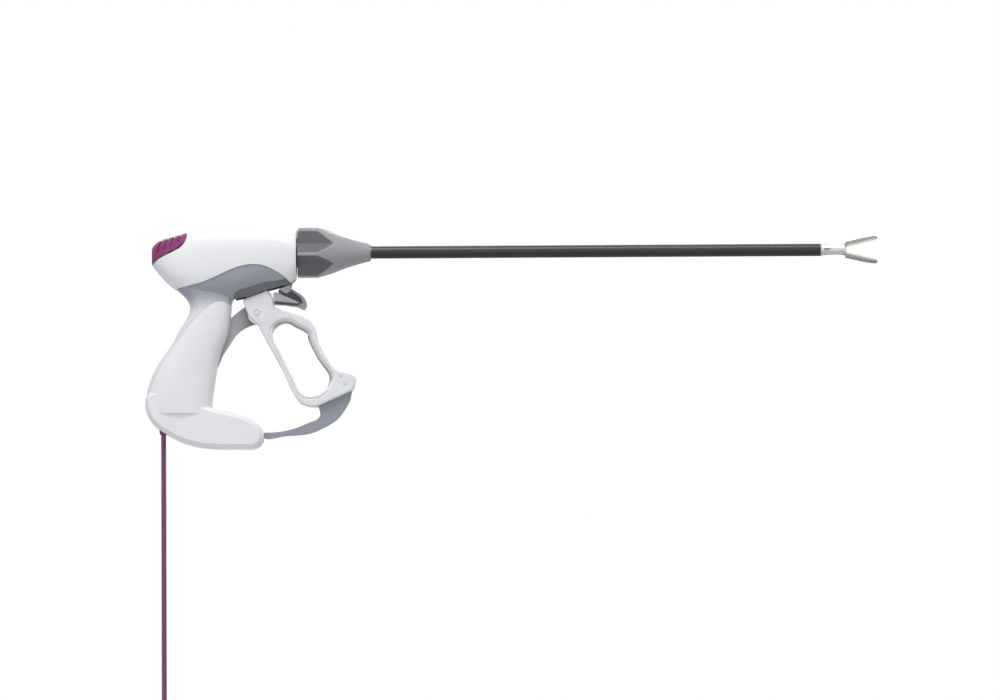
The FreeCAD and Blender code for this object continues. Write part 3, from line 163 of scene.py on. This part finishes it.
def line_length(points):
    """The length of the smooth line through the control points."""
    bare = smooth_line("measure", points, 0)
    evaluated = bare.evaluated_get(bpy.context.evaluated_depsgraph_get())
    mesh = bpy.data.meshes.new_from_object(evaluated)
    places = [vertex.co.copy() for vertex in mesh.vertices]
    bpy.data.objects.remove(bare)
    bpy.data.meshes.remove(mesh)
    return sum((b - a).length for a, b in zip(places, places[1:]))


cord_length = line_length(route)
print("cord length:", round(cord_length, 3), "m in", len(PLACES) - 0.5, "turns")
cord = smooth_line("sealing_cord", route, CORD_DIAMETER / 2)

# %% [markdown]
# ## A small language for finishes
# A finish is a network of nodes. Written out link by link it is hard to read, so sums and
# products of values are written as ordinary Python here: a small class wraps a socket and adds
# a Math node for each sign, and one method makes any other node.

# %% Finish tools


class Value:
    """A socket that can be used in sums, so that a finish reads like a formula."""

    def __init__(self, board, socket):
        self.board, self.socket = board, socket

    def joined(self, operation, *others):
        node = self.board.tree.nodes.new("ShaderNodeMath")
        node.operation = operation
        for entry, value in zip(node.inputs, (self, *others)):
            self.board.feed(entry, value)
        return Value(self.board, node.outputs[0])

    def __add__(self, other):
        return self.joined("ADD", other)

    def __sub__(self, other):
        return self.joined("SUBTRACT", other)

    def __rsub__(self, other):
        return (self * -1) + other

    def __mul__(self, other):
        return self.joined("MULTIPLY", other)

    __radd__, __rmul__ = __add__, __mul__


class Finish:
    """A material whose nodes are added one by one."""

    def __init__(self, name, **settings):
        self.material = bpy.data.materials.new(name)
        self.material.use_nodes = True
        self.tree = self.material.node_tree
        self.shader = self.tree.nodes["Principled BSDF"]
        for entry, value in settings.items():
            self.shader.inputs[entry.replace("_", " ")].default_value = value
        self.place = self.node("ShaderNodeTexCoord", out="Object")

    def feed(self, entry, value):
        if isinstance(value, Value):
            self.tree.links.new(value.socket, entry)
        else:
            entry.default_value = value

    def node(self, kind, inputs=None, out=0, **settings):
        """Any node: its settings first, then the values or links of its sockets."""
        node = self.tree.nodes.new(kind)
        stops = settings.pop("stops", None)
        for name, value in settings.items():
            setattr(node, name, value)
        if stops:
            while len(node.color_ramp.elements) < len(stops):
                node.color_ramp.elements.new(0.5)
            for element, (at, colour) in zip(node.color_ramp.elements, stops):
                element.position, element.color = at, (*colour, 1.0)
        for name, value in (inputs or {}).items():
            self.feed(node.inputs[name], value)
        return Value(self, node.outputs[out])

    def noise(self, scale, detail=2.0, rough=0.5, place=None):
        return self.node("ShaderNodeTexNoise", {"Vector": place or self.place, "Scale": scale,
                                                "Detail": detail, "Roughness": rough})

    def axes(self):
        """The place's three coordinates, each as a value."""
        parts = self.node("ShaderNodeSeparateXYZ", {0: self.place})
        outputs = parts.socket.node.outputs
        return [Value(self, outputs[number]) for number in range(3)]

    def step(self, value, low, high):
        """0 below low, 1 above high, and a smooth rise between them."""
        return self.node("ShaderNodeMapRange", {"Value": value, "From Min": low,
                                                "From Max": high},
                         interpolation_type="SMOOTHSTEP")

    def blend(self, share, first, second):
        """A colour between two colours."""
        node = self.tree.nodes.new("ShaderNodeMix")
        node.data_type = "RGBA"
        self.feed(node.inputs[0], share)
        for entry, colour in zip((node.inputs[6], node.inputs[7]), (first, second)):
            self.feed(entry, colour if isinstance(colour, Value) else (*colour, 1.0))
        return Value(self, node.outputs[2])

    def relief(self, height, depth, strength=1.0, edge=0.0):
        """Bumps of a given depth, on edges that are rounded by a small radius."""
        inputs = {"Height": height, "Distance": depth, "Strength": strength}
        if edge:
            inputs["Normal"] = self.node("ShaderNodeBevel", {"Radius": edge}, samples=6)
        self.use("Normal", self.node("ShaderNodeBump", inputs))

    def use(self, entry, value):
        self.feed(self.shader.inputs[entry], value)
        return self


def give(finish, *nodes):
    """Puts one finish on CAD nodes."""
    for name in nodes:
        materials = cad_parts[name].data.materials
        materials.clear()
        materials.append(finish.material)


# %% [markdown]
# ## Moulded plastics
# The housing is injection moulded. Its skin has a very fine grain, a little unevenness in its
# gloss and softly rounded edges. White, grey and dark plastics share this recipe and differ in
# colour and gloss.

# %% Plastics
GRAIN = 2600.0
EDGE = 0.0005


def moulded(name, colour, shade, gloss=0.38, edge=EDGE, grain=1.0):
    """A moulded plastic with a faint cloudiness between two colours."""
    finish = Finish(name, IOR=1.48)
    cloud = finish.noise(22.0, 3.0)
    finish.use("Base Color", finish.blend(finish.step(cloud, 0.35, 0.65), colour, shade))
    worn = finish.noise(140.0, 4.0)
    finish.use("Roughness", worn * 0.12 + (gloss - 0.06))
    finish.relief(finish.noise(GRAIN, 2.0), 0.000012, 0.35 * grain, edge)
    return finish


white = moulded("white_shell", (0.86, 0.865, 0.875), (0.83, 0.835, 0.85))
lever_white = moulded("white_lever", (0.84, 0.845, 0.86), (0.80, 0.805, 0.825), edge=0, grain=0.0)
latch_grey = moulded("latch_grey", (0.31, 0.32, 0.37), (0.28, 0.29, 0.34), 0.34)
trigger_grey = moulded("trigger_grey", (0.33, 0.34, 0.36), (0.29, 0.30, 0.32), 0.34)
dark = moulded("dark_plastic", (0.03, 0.03, 0.034), (0.022, 0.022, 0.025), 0.4)
board = moulded("circuit_board", (0.03, 0.14, 0.06), (0.02, 0.11, 0.05), 0.3)
give(white, "barrel_cover_left", "barrel_cover_right", "grip_panel_left", "grip_panel_right")
give(lever_white, "lever_handle")
give(latch_grey, "latch_arm")
give(trigger_grey, "trigger")
give(dark, "switch", "cord_tie")
give(board, "switch_board")

# %% [markdown]
# ## The middle shell
# The grey belly under the barrel and the pale backstrap behind the grip are one moulding. Its grey
# fades towards the backstrap, so the colour is blended by height. Below the belly's crease the
# colour is painted darker, as painted shade of the underside.

# %% Middle shell
CREASE_SLOPE, CREASE_START = 0.235, 0.0395
middle = Finish("middle_shell", IOR=1.48)
across, depth, height = middle.axes()
faded = middle.step(height, 0.030, 0.047)
belly = middle.blend(middle.step(middle.noise(20.0, 3.0), 0.35, 0.65), (0.36, 0.375, 0.42),
                     (0.33, 0.345, 0.39))
# painted shade: below the crease, in front of the grip, the belly is painted dark like its shaded
# underside
crease = height - across * CREASE_SLOPE - CREASE_START
under = middle.step(crease * -1, -0.0006, 0.0006) * middle.step(across, 0.037, 0.042)
belly = middle.blend(under, belly, (0.16, 0.165, 0.18))
middle.use("Base Color", middle.blend(faded, (0.74, 0.745, 0.775), belly))
middle.use("Roughness", middle.noise(140.0, 4.0) * 0.12 + 0.32)
middle.relief(middle.noise(GRAIN), 0.000012, 0.35, EDGE)
give(middle, "frame_left", "frame_right")

# %% [markdown]
# ## Bracket
# The bracket's grey is painted darker towards the gap behind the lever's cheeks, as painted shade.

# %% Bracket
web = Finish("bracket_grey_and_shade", IOR=1.48)
forward, depth, height = web.axes()
# painted shade: the grey darkens towards the gap behind the lever's cheeks
web.use("Base Color", web.blend(web.step(forward, 0.036, 0.052), (0.36, 0.365, 0.39),
                                (0.15, 0.153, 0.165)))
web.use("Roughness", web.noise(140.0, 4.0) * 0.12 + 0.34)
web.relief(web.noise(GRAIN), 0.000012, 0.35, EDGE)
give(web, "lever_bracket")

# %% [markdown]
# ## Knob
# The knob is a satin grey. Its flutes are painted darker than its lands, as painted shade, so the
# colour follows how deep a point lies below the turned skin; the skin's radius is the same formula
# as in the CAD.

# %% Knob
KNOB_RIDGE, KNOB_NOSE = 0.0222, 0.0073
knob_grey = Finish("knob_grey", IOR=1.5)
along, sideways, upward = knob_grey.axes()
share = knob_grey.node("ShaderNodeMapRange", {"Value": along, "From Min": 0.1025,
                                              "From Max": 0.1439})
skin = (share * 1.38 - share * share * 0.38) * (KNOB_NOSE - KNOB_RIDGE) + KNOB_RIDGE
upward = upward - 0.079
radius = (sideways * sideways + upward * upward).joined("POWER", 0.5)
# painted shade: the flutes are coloured darker than the lands
flute_shade = knob_grey.step(skin - radius, 0.0002, 0.0012)
cloud = knob_grey.blend(knob_grey.noise(25.0, 3.0), (0.37, 0.375, 0.39), (0.31, 0.315, 0.33))
knob_grey.use("Base Color", knob_grey.blend(flute_shade, cloud, (0.115, 0.118, 0.125)))
knob_grey.use("Roughness", knob_grey.noise(140.0, 4.0) * 0.12 + 0.24)
knob_grey.relief(knob_grey.noise(GRAIN), 0.000012, 0.3, 0.0004)
give(knob_grey, "rotation_knob", "front_bearing")

# %% [markdown]
# ## Metals and ceramics of the tip
# The jaws and the clevis are machined steel, brushed along the shaft. The jaws' backs are a
# darker polished metal. The insulators are a cream moulding that lets a little light in.

# %% Metals


def brushed(name, colour, shade, gloss, stretch=(1.0, 14.0, 14.0), edge=0.00012):
    """Metal with fine marks that run along the shaft."""
    finish = Finish(name, Metallic=1.0)
    along = finish.node("ShaderNodeMapping", {"Vector": finish.place, "Scale": stretch})
    marks = finish.noise(900.0, 3.0, 0.6, along)
    finish.use("Base Color", finish.blend(marks, colour, shade))
    finish.use("Roughness", marks * 0.18 + (gloss - 0.09))
    finish.relief(marks, 0.000006, 0.4, edge)
    return finish


clevis_steel = brushed("clevis_steel", (0.74, 0.74, 0.75), (0.60, 0.60, 0.62), 0.30)
jaw_steel = brushed("jaw_steel", (0.36, 0.345, 0.35), (0.28, 0.27, 0.275), 0.20)
plate_steel = brushed("plate_steel", (0.78, 0.77, 0.74), (0.66, 0.65, 0.63), 0.24)
plain_steel = brushed("plain_steel", (0.62, 0.62, 0.64), (0.50, 0.50, 0.52), 0.32)
brass = brushed("brass", (0.80, 0.60, 0.27), (0.70, 0.52, 0.22), 0.25)
give(clevis_steel, "jaw_clevis", "jaw_pivot_pin")
give(jaw_steel, "upper_jaw", "lower_jaw")
give(plate_steel, "upper_seal_plate", "lower_seal_plate", "knife_blade")
give(plain_steel, "lever_pin", "rocker_pin", "knife_lever_pins", "trigger_pin", "housing_screws",
     "latch_rivets", "drive_yoke", "rocker", "knife_lever", "shaft_tube", "drive_collar",
     "drive_tube", "drive_tongue_left", "drive_tongue_right", "cam_pin", "knife_carriage",
     "knife_cross_pin", "knife_rod")
give(brass, "plug_pins")

cream = moulded("cream_insulator", (0.80, 0.71, 0.46), (0.76, 0.66, 0.40), 0.30, 0.00012)
cream.shader.inputs["Subsurface Weight"].default_value = 0.15
cream.shader.inputs["Subsurface Radius"].default_value = (0.001, 0.0006, 0.0003)
stop_black = moulded("seal_stop", (0.02, 0.02, 0.022), (0.015, 0.015, 0.016), 0.3, 0.0001)
give(cream, "tip_insulator", "upper_insulator", "lower_insulator")
give(stop_black, "seal_stops")

# %% [markdown]
# ## Sleeve, button and cord
# The shaft's sleeve is a shrunk black tube with a soft gloss. The thumb button and the cord
# share a purple.

# %% Sleeve, button and cord
sleeve = Finish("black_sleeve", IOR=1.5)
sleeve.use("Base Color", sleeve.blend(sleeve.noise(60.0), (0.012, 0.012, 0.014),
                                      (0.02, 0.02, 0.022)))
sleeve.use("Roughness", sleeve.noise(220.0, 3.0) * 0.14 + 0.34)
sleeve.relief(sleeve.noise(1500.0), 0.00002, 0.3)
give(sleeve, "shaft_sleeve")

purple = moulded("purple_plastic", (0.27, 0.028, 0.16), (0.22, 0.022, 0.13), 0.24, 0.0005, 0.5)
give(purple, "thumb_button", "plug", "cord_gland")

cord_skin = Finish("cord_skin", IOR=1.45)
cord_skin.use("Base Color", cord_skin.blend(cord_skin.noise(45.0), (0.19, 0.06, 0.14),
                                            (0.15, 0.045, 0.11)))
cord_skin.use("Roughness", cord_skin.noise(300.0) * 0.14 + 0.38)
cord_skin.relief(cord_skin.noise(1800.0), 0.00002, 0.3)
cord.data.materials.append(cord_skin.material)
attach(cord, "handle")
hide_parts("cord_lead", "cord_coil", "cord_tail")

# %% [markdown]
# ## Shaped skins
# The CAD lever is a flat plate, while the real one is a rounded loop. A sculpted copy would be
# hard to repeat, so the flat sides are cut away and filled again with a net of small triangles
# whose depth is a formula of the distance to the plate's borders. The borders are kept, so the
# outline stays exactly the CAD's. Rings of points follow each border, closest where the form
# bends most, and a coarse grid fills what is left.

# %% Skin tools


def rise(value, low, high):
    """0 below low, 1 above high, and a smooth rise between them."""
    share = min(max((value - low) / (high - low), 0.0), 1.0)
    return share * share * (3 - 2 * share)


def rounded(distance, radius):
    """How far a rounded edge lies back at a distance from the border."""
    share = min(max(distance / radius, 0.0), 1.0)
    return radius * (1 - math.sqrt(1 - (1 - share) ** 2))


def copy_of(node, name):
    """A free copy of a CAD node and its editable mesh, with doubled points joined."""
    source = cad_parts[node]
    mesh = source.data.copy()
    mesh.transform(source.matrix_world)
    mesh.materials.clear()
    for layer in ("custom_normal", "sharp_face", "sharp_edge"):
        if layer in mesh.attributes:
            mesh.attributes.remove(mesh.attributes[layer])
    piece = bpy.data.objects.new(name, mesh)
    scene.collection.objects.link(piece)
    net = bmesh.new()
    net.from_mesh(mesh)
    bmesh.ops.remove_doubles(net, verts=net.verts, dist=1e-6)
    return piece, net


def settle(piece, net, finish, body, *nodes, sharp=35):
    """Writes an edited mesh back, gives it its finish and lets it stand for CAD nodes."""
    bmesh.ops.recalc_face_normals(net, faces=net.faces)
    for face in net.faces:
        face.smooth = True
    for edge in net.edges:
        edge.smooth = edge.calc_face_angle(0) < math.radians(sharp)
    net.to_mesh(piece.data)
    net.free()
    piece.data.materials.append(finish.material)
    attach(piece, body)
    if nodes:
        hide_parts(*nodes)
    print(piece.name, len(piece.data.polygons), "faces")
    return piece


def open_borders(net, side):
    """The open borders on one side, each as a closed list of vertices."""
    near = {}
    for edge in net.edges:
        if edge.is_boundary and all(vertex.co.y * side > 0 for vertex in edge.verts):
            for one, other in (edge.verts, reversed(edge.verts)):
                near.setdefault(one, []).append(other)
    borders = []
    while near:
        start = next(iter(near))
        border, here, last = [], start, None
        while here in near:
            border.append(here)
            ways = [other for other in near.pop(here) if other is not last]
            last, here = here, next((way for way in ways if way in near), start)
        borders.append(border)
    return borders


class Border:
    """A closed line in the side view, in millimetres, with its distance to any point."""

    def __init__(self, vertices):
        self.vertices = vertices
        self.points = [Vector((v.co.x, v.co.z)) / MM for v in vertices]
        count = len(self.points)
        posts = [Vector((p.x, p.y, z)) for z in (-9, 9) for p in self.points]
        fences = [(i, (i + 1) % count, (i + 1) % count + count, i + count) for i in range(count)]
        self.tree = BVHTree.FromPolygons(posts, fences)
        self.size = (max(p.x for p in self.points) - min(p.x for p in self.points))

    def to(self, point):
        """The nearest place of the border and its distance."""
        place = self.tree.find_nearest(Vector((point.x, point.y, 0)))[0].xy
        return place, (place - point).length

    def holds(self, point):
        """Whether the point lies inside the closed line."""
        inside = False
        for a, b in zip(self.points, self.points[1:] + self.points[:1]):
            if (a.y > point.y) != (b.y > point.y):
                inside ^= point.x < a.x + (point.y - a.y) * (b.x - a.x) / (b.y - a.y)
        return inside


def fill_side(net, side, depth, rings, spacing):
    """Fills the open borders of one side with a net whose half width is depth(point, borders).

    rings(border) lists the distances at which rings of points follow a border."""
    long_edges = [0]
    while long_edges:
        long_edges = [edge for edge in net.edges if edge.is_boundary and edge.calc_length() > 0.0012
                      and all(vertex.co.y * side > 0 for vertex in edge.verts)]
        bmesh.ops.subdivide_edges(net, edges=long_edges, cuts=1)
    borders = sorted((Border(vertices) for vertices in open_borders(net, side)),
                     key=lambda border: -border.size)
    outer, inner = borders[0], borders[1:]

    def within(point):
        return outer.holds(point) and not any(border.holds(point) for border in inner)

    points, vertices, lines = [], [], []
    for border in borders:
        first = len(points)
        points += border.points
        vertices += border.vertices
        lines += [(first + i, first + (i + 1) % len(border.points))
                  for i in range(len(border.points))]
    taken = {}

    def add(point, room):
        """Adds a point unless another one is already closer than the room it needs."""
        cell = (round(point.x), round(point.y))
        for dx in (-1, 0, 1):
            for dy in (-1, 0, 1):
                for other in taken.get((cell[0] + dx, cell[1] + dy), ()):
                    if (other - point).length < room:
                        return
        taken.setdefault(cell, []).append(point)
        points.append(point)

    for border in borders:
        count = len(border.points)
        for number, point in enumerate(border.points):
            along = border.points[(number + 1) % count] - border.points[number - 1]
            normal = Vector((-along.y, along.x)).normalized()
            if not within(point + normal * 0.05):
                normal = -normal
            for distance in rings(border):
                candidate = point + normal * distance
                if within(candidate) and all(other.to(candidate)[1] > min(distance, 0.5) - 0.03
                                             for other in borders) \
                        and border.to(candidate)[1] > distance - 0.03:
                    add(candidate, 0.16)
    low = Vector((min(p.x for p in outer.points), min(p.y for p in outer.points)))
    high = Vector((max(p.x for p in outer.points), max(p.y for p in outer.points)))
    for column in range(int((high.x - low.x) / spacing)):
        for row in range(int((high.y - low.y) / spacing)):
            shift = 0.5 * (row % 2)
            candidate = low + Vector((column + shift, row)) * spacing
            if within(candidate) and min(other.to(candidate)[1] for other in borders) > 0.8:
                add(candidate, spacing * 0.7)

    for vertex, point in zip(vertices, points):
        vertex.co.y = side * depth(point, borders) * MM
    for point in points[len(vertices):]:
        vertices.append(net.verts.new((point.x * MM, side * depth(point, borders) * MM,
                                       point.y * MM)))
    places, _, triangles, origins, _, _ = delaunay_2d_cdt(points, lines, [], 0, 1e-6)
    for corners in triangles:
        known = all(origins[i] for i in corners)
        if known and within(sum((places[i] for i in corners), Vector((0, 0))) / 3):
            net.faces.new([vertices[origins[i][0]] for i in corners])


# %% [markdown]
# ## Lever
# The loop's outer edge is round. Its opening has a raised lip on the rear and lower sides, and
# above and in front the wall slopes inwards as a rest for the fingers. The two cheeks at the
# hinge are thicker, and the pin sits in a round recess.

# %% Lever
PIN = Vector((54.0, 30.4))
LOOP_HALF, CHEEK_EXTRA, LOOP_EDGE = 7.0, 0.8, 1.5
LIP_EDGE, LIP_GROOVE = 0.9, 0.55
REST_SLOPE, REST_REACH = 12.0, 4.4
REST_FACING = Vector((0.5, 0.86))
OPENING_MIDDLE = Vector((83, 2))
RECESS_FLOOR, RECESS_DEPTH = 7.1, 0.7


def lever_depth(point, borders):
    """Half the lever's width at a place of the side view."""
    outer, opening = borders[0], borders[1]
    cheek = rise(point.y, 19, 27) * rise(-point.x, -72, -60)
    width = LOOP_HALF + CHEEK_EXTRA * cheek - rounded(outer.to(point)[1], LOOP_EDGE)
    place, distance = opening.to(point)
    away = point - (place if distance > 0.01 else OPENING_MIDDLE)
    rest = rise(away.normalized().dot(REST_FACING), -0.25, 0.55)
    groove = LIP_GROOVE * (rise(distance, 1.7, 2.1) - rise(distance, 2.3, 3.0))
    lip = rounded(distance, LIP_EDGE) + groove
    slope = REST_SLOPE * (1 - rise(distance, -4.0, REST_REACH))
    width -= (1 - rest) * lip + rest * slope
    from_pin = (point - PIN).length
    if from_pin < 4:
        width = min(width, RECESS_FLOOR + RECESS_DEPTH * rise(from_pin, 2.6, 2.8))
    return width


def lever_rings(border):
    """How far from the outline, the opening, the pin's hole or a rivet's the rings lie."""
    if border.size > 60:
        return 0.35, 0.8, 1.4, 2.2
    if border.size > 20:
        return 0.3, 0.8, 1.3, 1.75, 2.1, 2.35, 2.8, 3.4, 4.0, 4.5, 5.2
    return (0.45, 0.8, 1.0, 1.4) if border.size > 3.4 else (0.5,)


lever, net = copy_of("lever_handle", "lever_loop")
bmesh.ops.delete(net, context="FACES", geom=[
    face for face in net.faces if all(abs(vertex.co.y) > 0.00699 for vertex in face.verts)])
bmesh.ops.delete(net, context="VERTS", geom=[v for v in net.verts if not v.link_faces])
for side in (-1, 1):
    fill_side(net, side, lever_depth, lever_rings, 1.8)
settle(lever, net, lever_white, "lever", "lever_handle")

# %% [markdown]
# ## Skirt and trigger sides
# Under the belly its moulding turns inwards; this skirt is coloured dark grey as painted shade of
# the belly's underside. The trigger carries raised and sunk fields on its sides: the raised ones
# are painted a lighter grey as painted light, and the hollow, the gap and the lip are dark plates
# of painted shade. All are thin closed plates whose outline is read from the side view; one
# function raises such an outline between two depths and mirrors it.

# %% Side plates


def ray_tree(node):
    """A CAD node's faces, ready for rays."""
    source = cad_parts[node]
    net = bmesh.new()
    net.from_mesh(source.data)
    net.transform(source.matrix_world)
    tree = BVHTree.FromBMesh(net)
    net.free()
    return tree


def width_at(tree, side, x, z):
    """Half the width of a node at a place of the side view, in millimetres."""
    hit = tree.ray_cast(Vector((x * MM, side * 0.05, z * MM)), Vector((0, -side, 0)))[0]
    return hit.y * side / MM if hit else 0.0


def side_plates(name, outline, low, high, finish, body, bevel=0.25, steps=2):
    """Closed plates with one outline on both sides; low and high may be lists, one per point."""
    lows = low if isinstance(low, list) else [low] * len(outline)
    highs = high if isinstance(high, list) else [high] * len(outline)
    net = bmesh.new()
    for side in (-1, 1):
        rows = [[net.verts.new((x * MM, side * y * MM, z * MM))
                 for (x, z), y in zip(outline, levels)] for levels in (lows, highs)]
        net.faces.new(rows[0])
        top = net.faces.new(rows[1])
        for i in range(len(outline)):
            j = (i + 1) % len(outline)
            net.faces.new((rows[0][i], rows[0][j], rows[1][j], rows[1][i]))
        if bevel:
            bmesh.ops.bevel(net, geom=list(top.edges), offset=bevel * MM, segments=steps,
                            affect="EDGES", profile=0.5)
    bmesh.ops.triangulate(net, faces=[face for face in net.faces if len(face.verts) > 4])
    piece = bpy.data.objects.new(name, bpy.data.meshes.new(name))
    scene.collection.objects.link(piece)
    return settle(piece, net, finish, body)


# Each station: its place along the device, the belly's crease and the skirt's lower edge.
SKIRT = [(36.5, 48.6, 41.6), (40.6, 49.4, 42.3), (48.4, 51.6, 43.9), (54.5, 53.2, 46.0),
         (60.7, 54.6, 48.5), (66.4, 55.8, 49.9), (73.0, 57.0, 51.7), (79.5, 58.2, 53.3)]
SKIRT_INNER, SKIRT_OUTER, SKIRT_TOP = 8.85, 9.9, (10.2, 15.0)
TUCK = 0.6
# painted shade: the skirt is coloured dark grey for the shaded underside of the belly
skirt_painted_shade = moulded("skirt_painted_shade", (0.165, 0.17, 0.185), (0.15, 0.155, 0.17), 0.4)
shell = ray_tree("frame_right")
tops = [min(max(width_at(shell, -1, x, top + TUCK) - TUCK / 2, SKIRT_TOP[0]), SKIRT_TOP[1])
        for x, top, low in SKIRT]
print("skirt half widths:", [round(top, 1) for top in tops])
side_plates("belly_skirt", [(x, top + TUCK) for x, top, low in SKIRT]
            + [(x, low) for x, top, low in SKIRT[::-1]],
            SKIRT_INNER, tops + [SKIRT_OUTER] * len(SKIRT), skirt_painted_shade, "handle", 0.0)

# painted light: the raised fields are a lighter copy of the trigger's grey
trigger_painted_light = moulded("trigger_painted_light", (0.44, 0.45, 0.47), (0.40, 0.41, 0.43), 0.34)
TRIGGER_ROOT = 7.9
# Each field: its name, how far out it reaches, its bevel, its finish and its outline.
TRIGGER_FIELDS = [
    ("trigger_field", 8.35, 0.25, trigger_painted_light,
     [(66.8, 45.9), (69, 47.1), (76.7, 43.5), (87.3, 38.9), (86.5, 37.7), (67.7, 39.8)]),
    ("trigger_ear", 8.5, 0.25, trigger_painted_light,
     [(71.3, 49.5), (80.7, 52.9), (81.1, 48.0), (77.4, 45.5)]),
    # painted shade: the dark hollow, gap and lip plates stand for shade in the trigger's recess and
    # gaps
    ("trigger_hollow_shade", 8.25, 0.0, dark,
     [(79.6, 43.9), (81.1, 47.2), (84, 45.8), (88, 42.1), (89.9, 38.5), (84.8, 40.6)]),
    ("trigger_gap_shade", 8.3, 0.0, dark,
     [(71.0, 48.7), (77.1, 45.3), (81.1, 47.6), (80.9, 46.6), (77.1, 44.3), (71.0, 47.7)]),
    ("trigger_lip_shade", 8.3, 0.0, dark, [(67.7, 39.3), (86.8, 37.7), (86.8, 36.4), (67.7, 37.9)])]
for name, reach, bevel, finish, outline in TRIGGER_FIELDS:
    side_plates(name, outline, TRIGGER_ROOT, reach, finish, "trigger", bevel)

# %% [markdown]
# ## Floor and light
# A pale floor and a white surrounding, with soft lamps from above and in front, as in a studio
# picture on white.

# %% Floor and light
FLOOR_Z = cad_box[0].z - 0.012
floor_mesh = bpy.data.meshes.new("floor")
reach = 1.6
floor_mesh.from_pydata([(-reach, -reach, FLOOR_Z), (reach, -reach, FLOOR_Z),
                        (reach, reach, FLOOR_Z), (-reach, reach, FLOOR_Z)], [], [(0, 1, 2, 3)])
floor = bpy.data.objects.new("floor", floor_mesh)
scene.collection.objects.link(floor)
floor_finish = Finish("floor", Roughness=0.8)
floor_finish.use("Base Color", (0.62, 0.62, 0.62, 1.0))
floor_mesh.materials.append(floor_finish.material)

world = bpy.data.worlds.new("white_room")
scene.world = world
world.use_nodes = True
tree = world.node_tree
room = tree.nodes["Background"]
room.inputs["Color"].default_value = (0.94, 0.96, 1.0, 1.0)
from_above = tree.nodes.new("ShaderNodeMapRange")
for entry, value in (("From Min", -0.7), ("From Max", 0.7), ("To Min", 0.14), ("To Max", 0.60)):
    from_above.inputs[entry].default_value = value
sky = tree.nodes.new("ShaderNodeTexCoord")
split = tree.nodes.new("ShaderNodeSeparateXYZ")
tree.links.new(sky.outputs["Generated"], split.inputs[0])
tree.links.new(split.outputs[2], from_above.inputs["Value"])
tree.links.new(from_above.outputs[0], room.inputs["Strength"])
seen = tree.nodes.new("ShaderNodeBackground")
seen.inputs["Color"].default_value = (1, 1, 1, 1)
light_path = tree.nodes.new("ShaderNodeLightPath")
either = tree.nodes.new("ShaderNodeMath")
either.operation, either.use_clamp = "ADD", True
sharp = tree.nodes.new("ShaderNodeMath")
sharp.operation, sharp.use_clamp = "ADD", True
mix = tree.nodes.new("ShaderNodeMixShader")
tree.links.new(light_path.outputs["Is Camera Ray"], either.inputs[0])
tree.links.new(light_path.outputs["Is Transmission Ray"], sharp.inputs[0])
tree.links.new(light_path.outputs["Is Glossy Ray"], sharp.inputs[1])
tree.links.new(sharp.outputs[0], either.inputs[1])
tree.links.new(either.outputs[0], mix.inputs[0])
tree.links.new(room.outputs[0], mix.inputs[1])
tree.links.new(seen.outputs[0], mix.inputs[2])
tree.links.new(mix.outputs[0], tree.nodes["World Output"].inputs[0])


def lamp(name, place, aim, size, power):
    """A square soft lamp."""
    data = bpy.data.lights.new(name, "AREA")
    data.size, data.energy = size, power
    lamp_object = bpy.data.objects.new(name, data)
    lamp_object.location = place
    direction = Vector(aim) - Vector(place)
    lamp_object.rotation_mode = "QUATERNION"
    lamp_object.rotation_quaternion = direction.to_track_quat("-Z", "Y")
    scene.collection.objects.link(lamp_object)


MIDDLE = (0.12, 0.0, 0.03)
lamp("overhead", (0.12, -0.95, 2.0), MIDDLE, 0.8, 26.0)
lamp("front", (-0.9, -2.2, 0.5), MIDDLE, 1.2, 9.0)
lamp("rear", (0.5, 1.4, 0.9), MIDDLE, 1.0, 7.0)
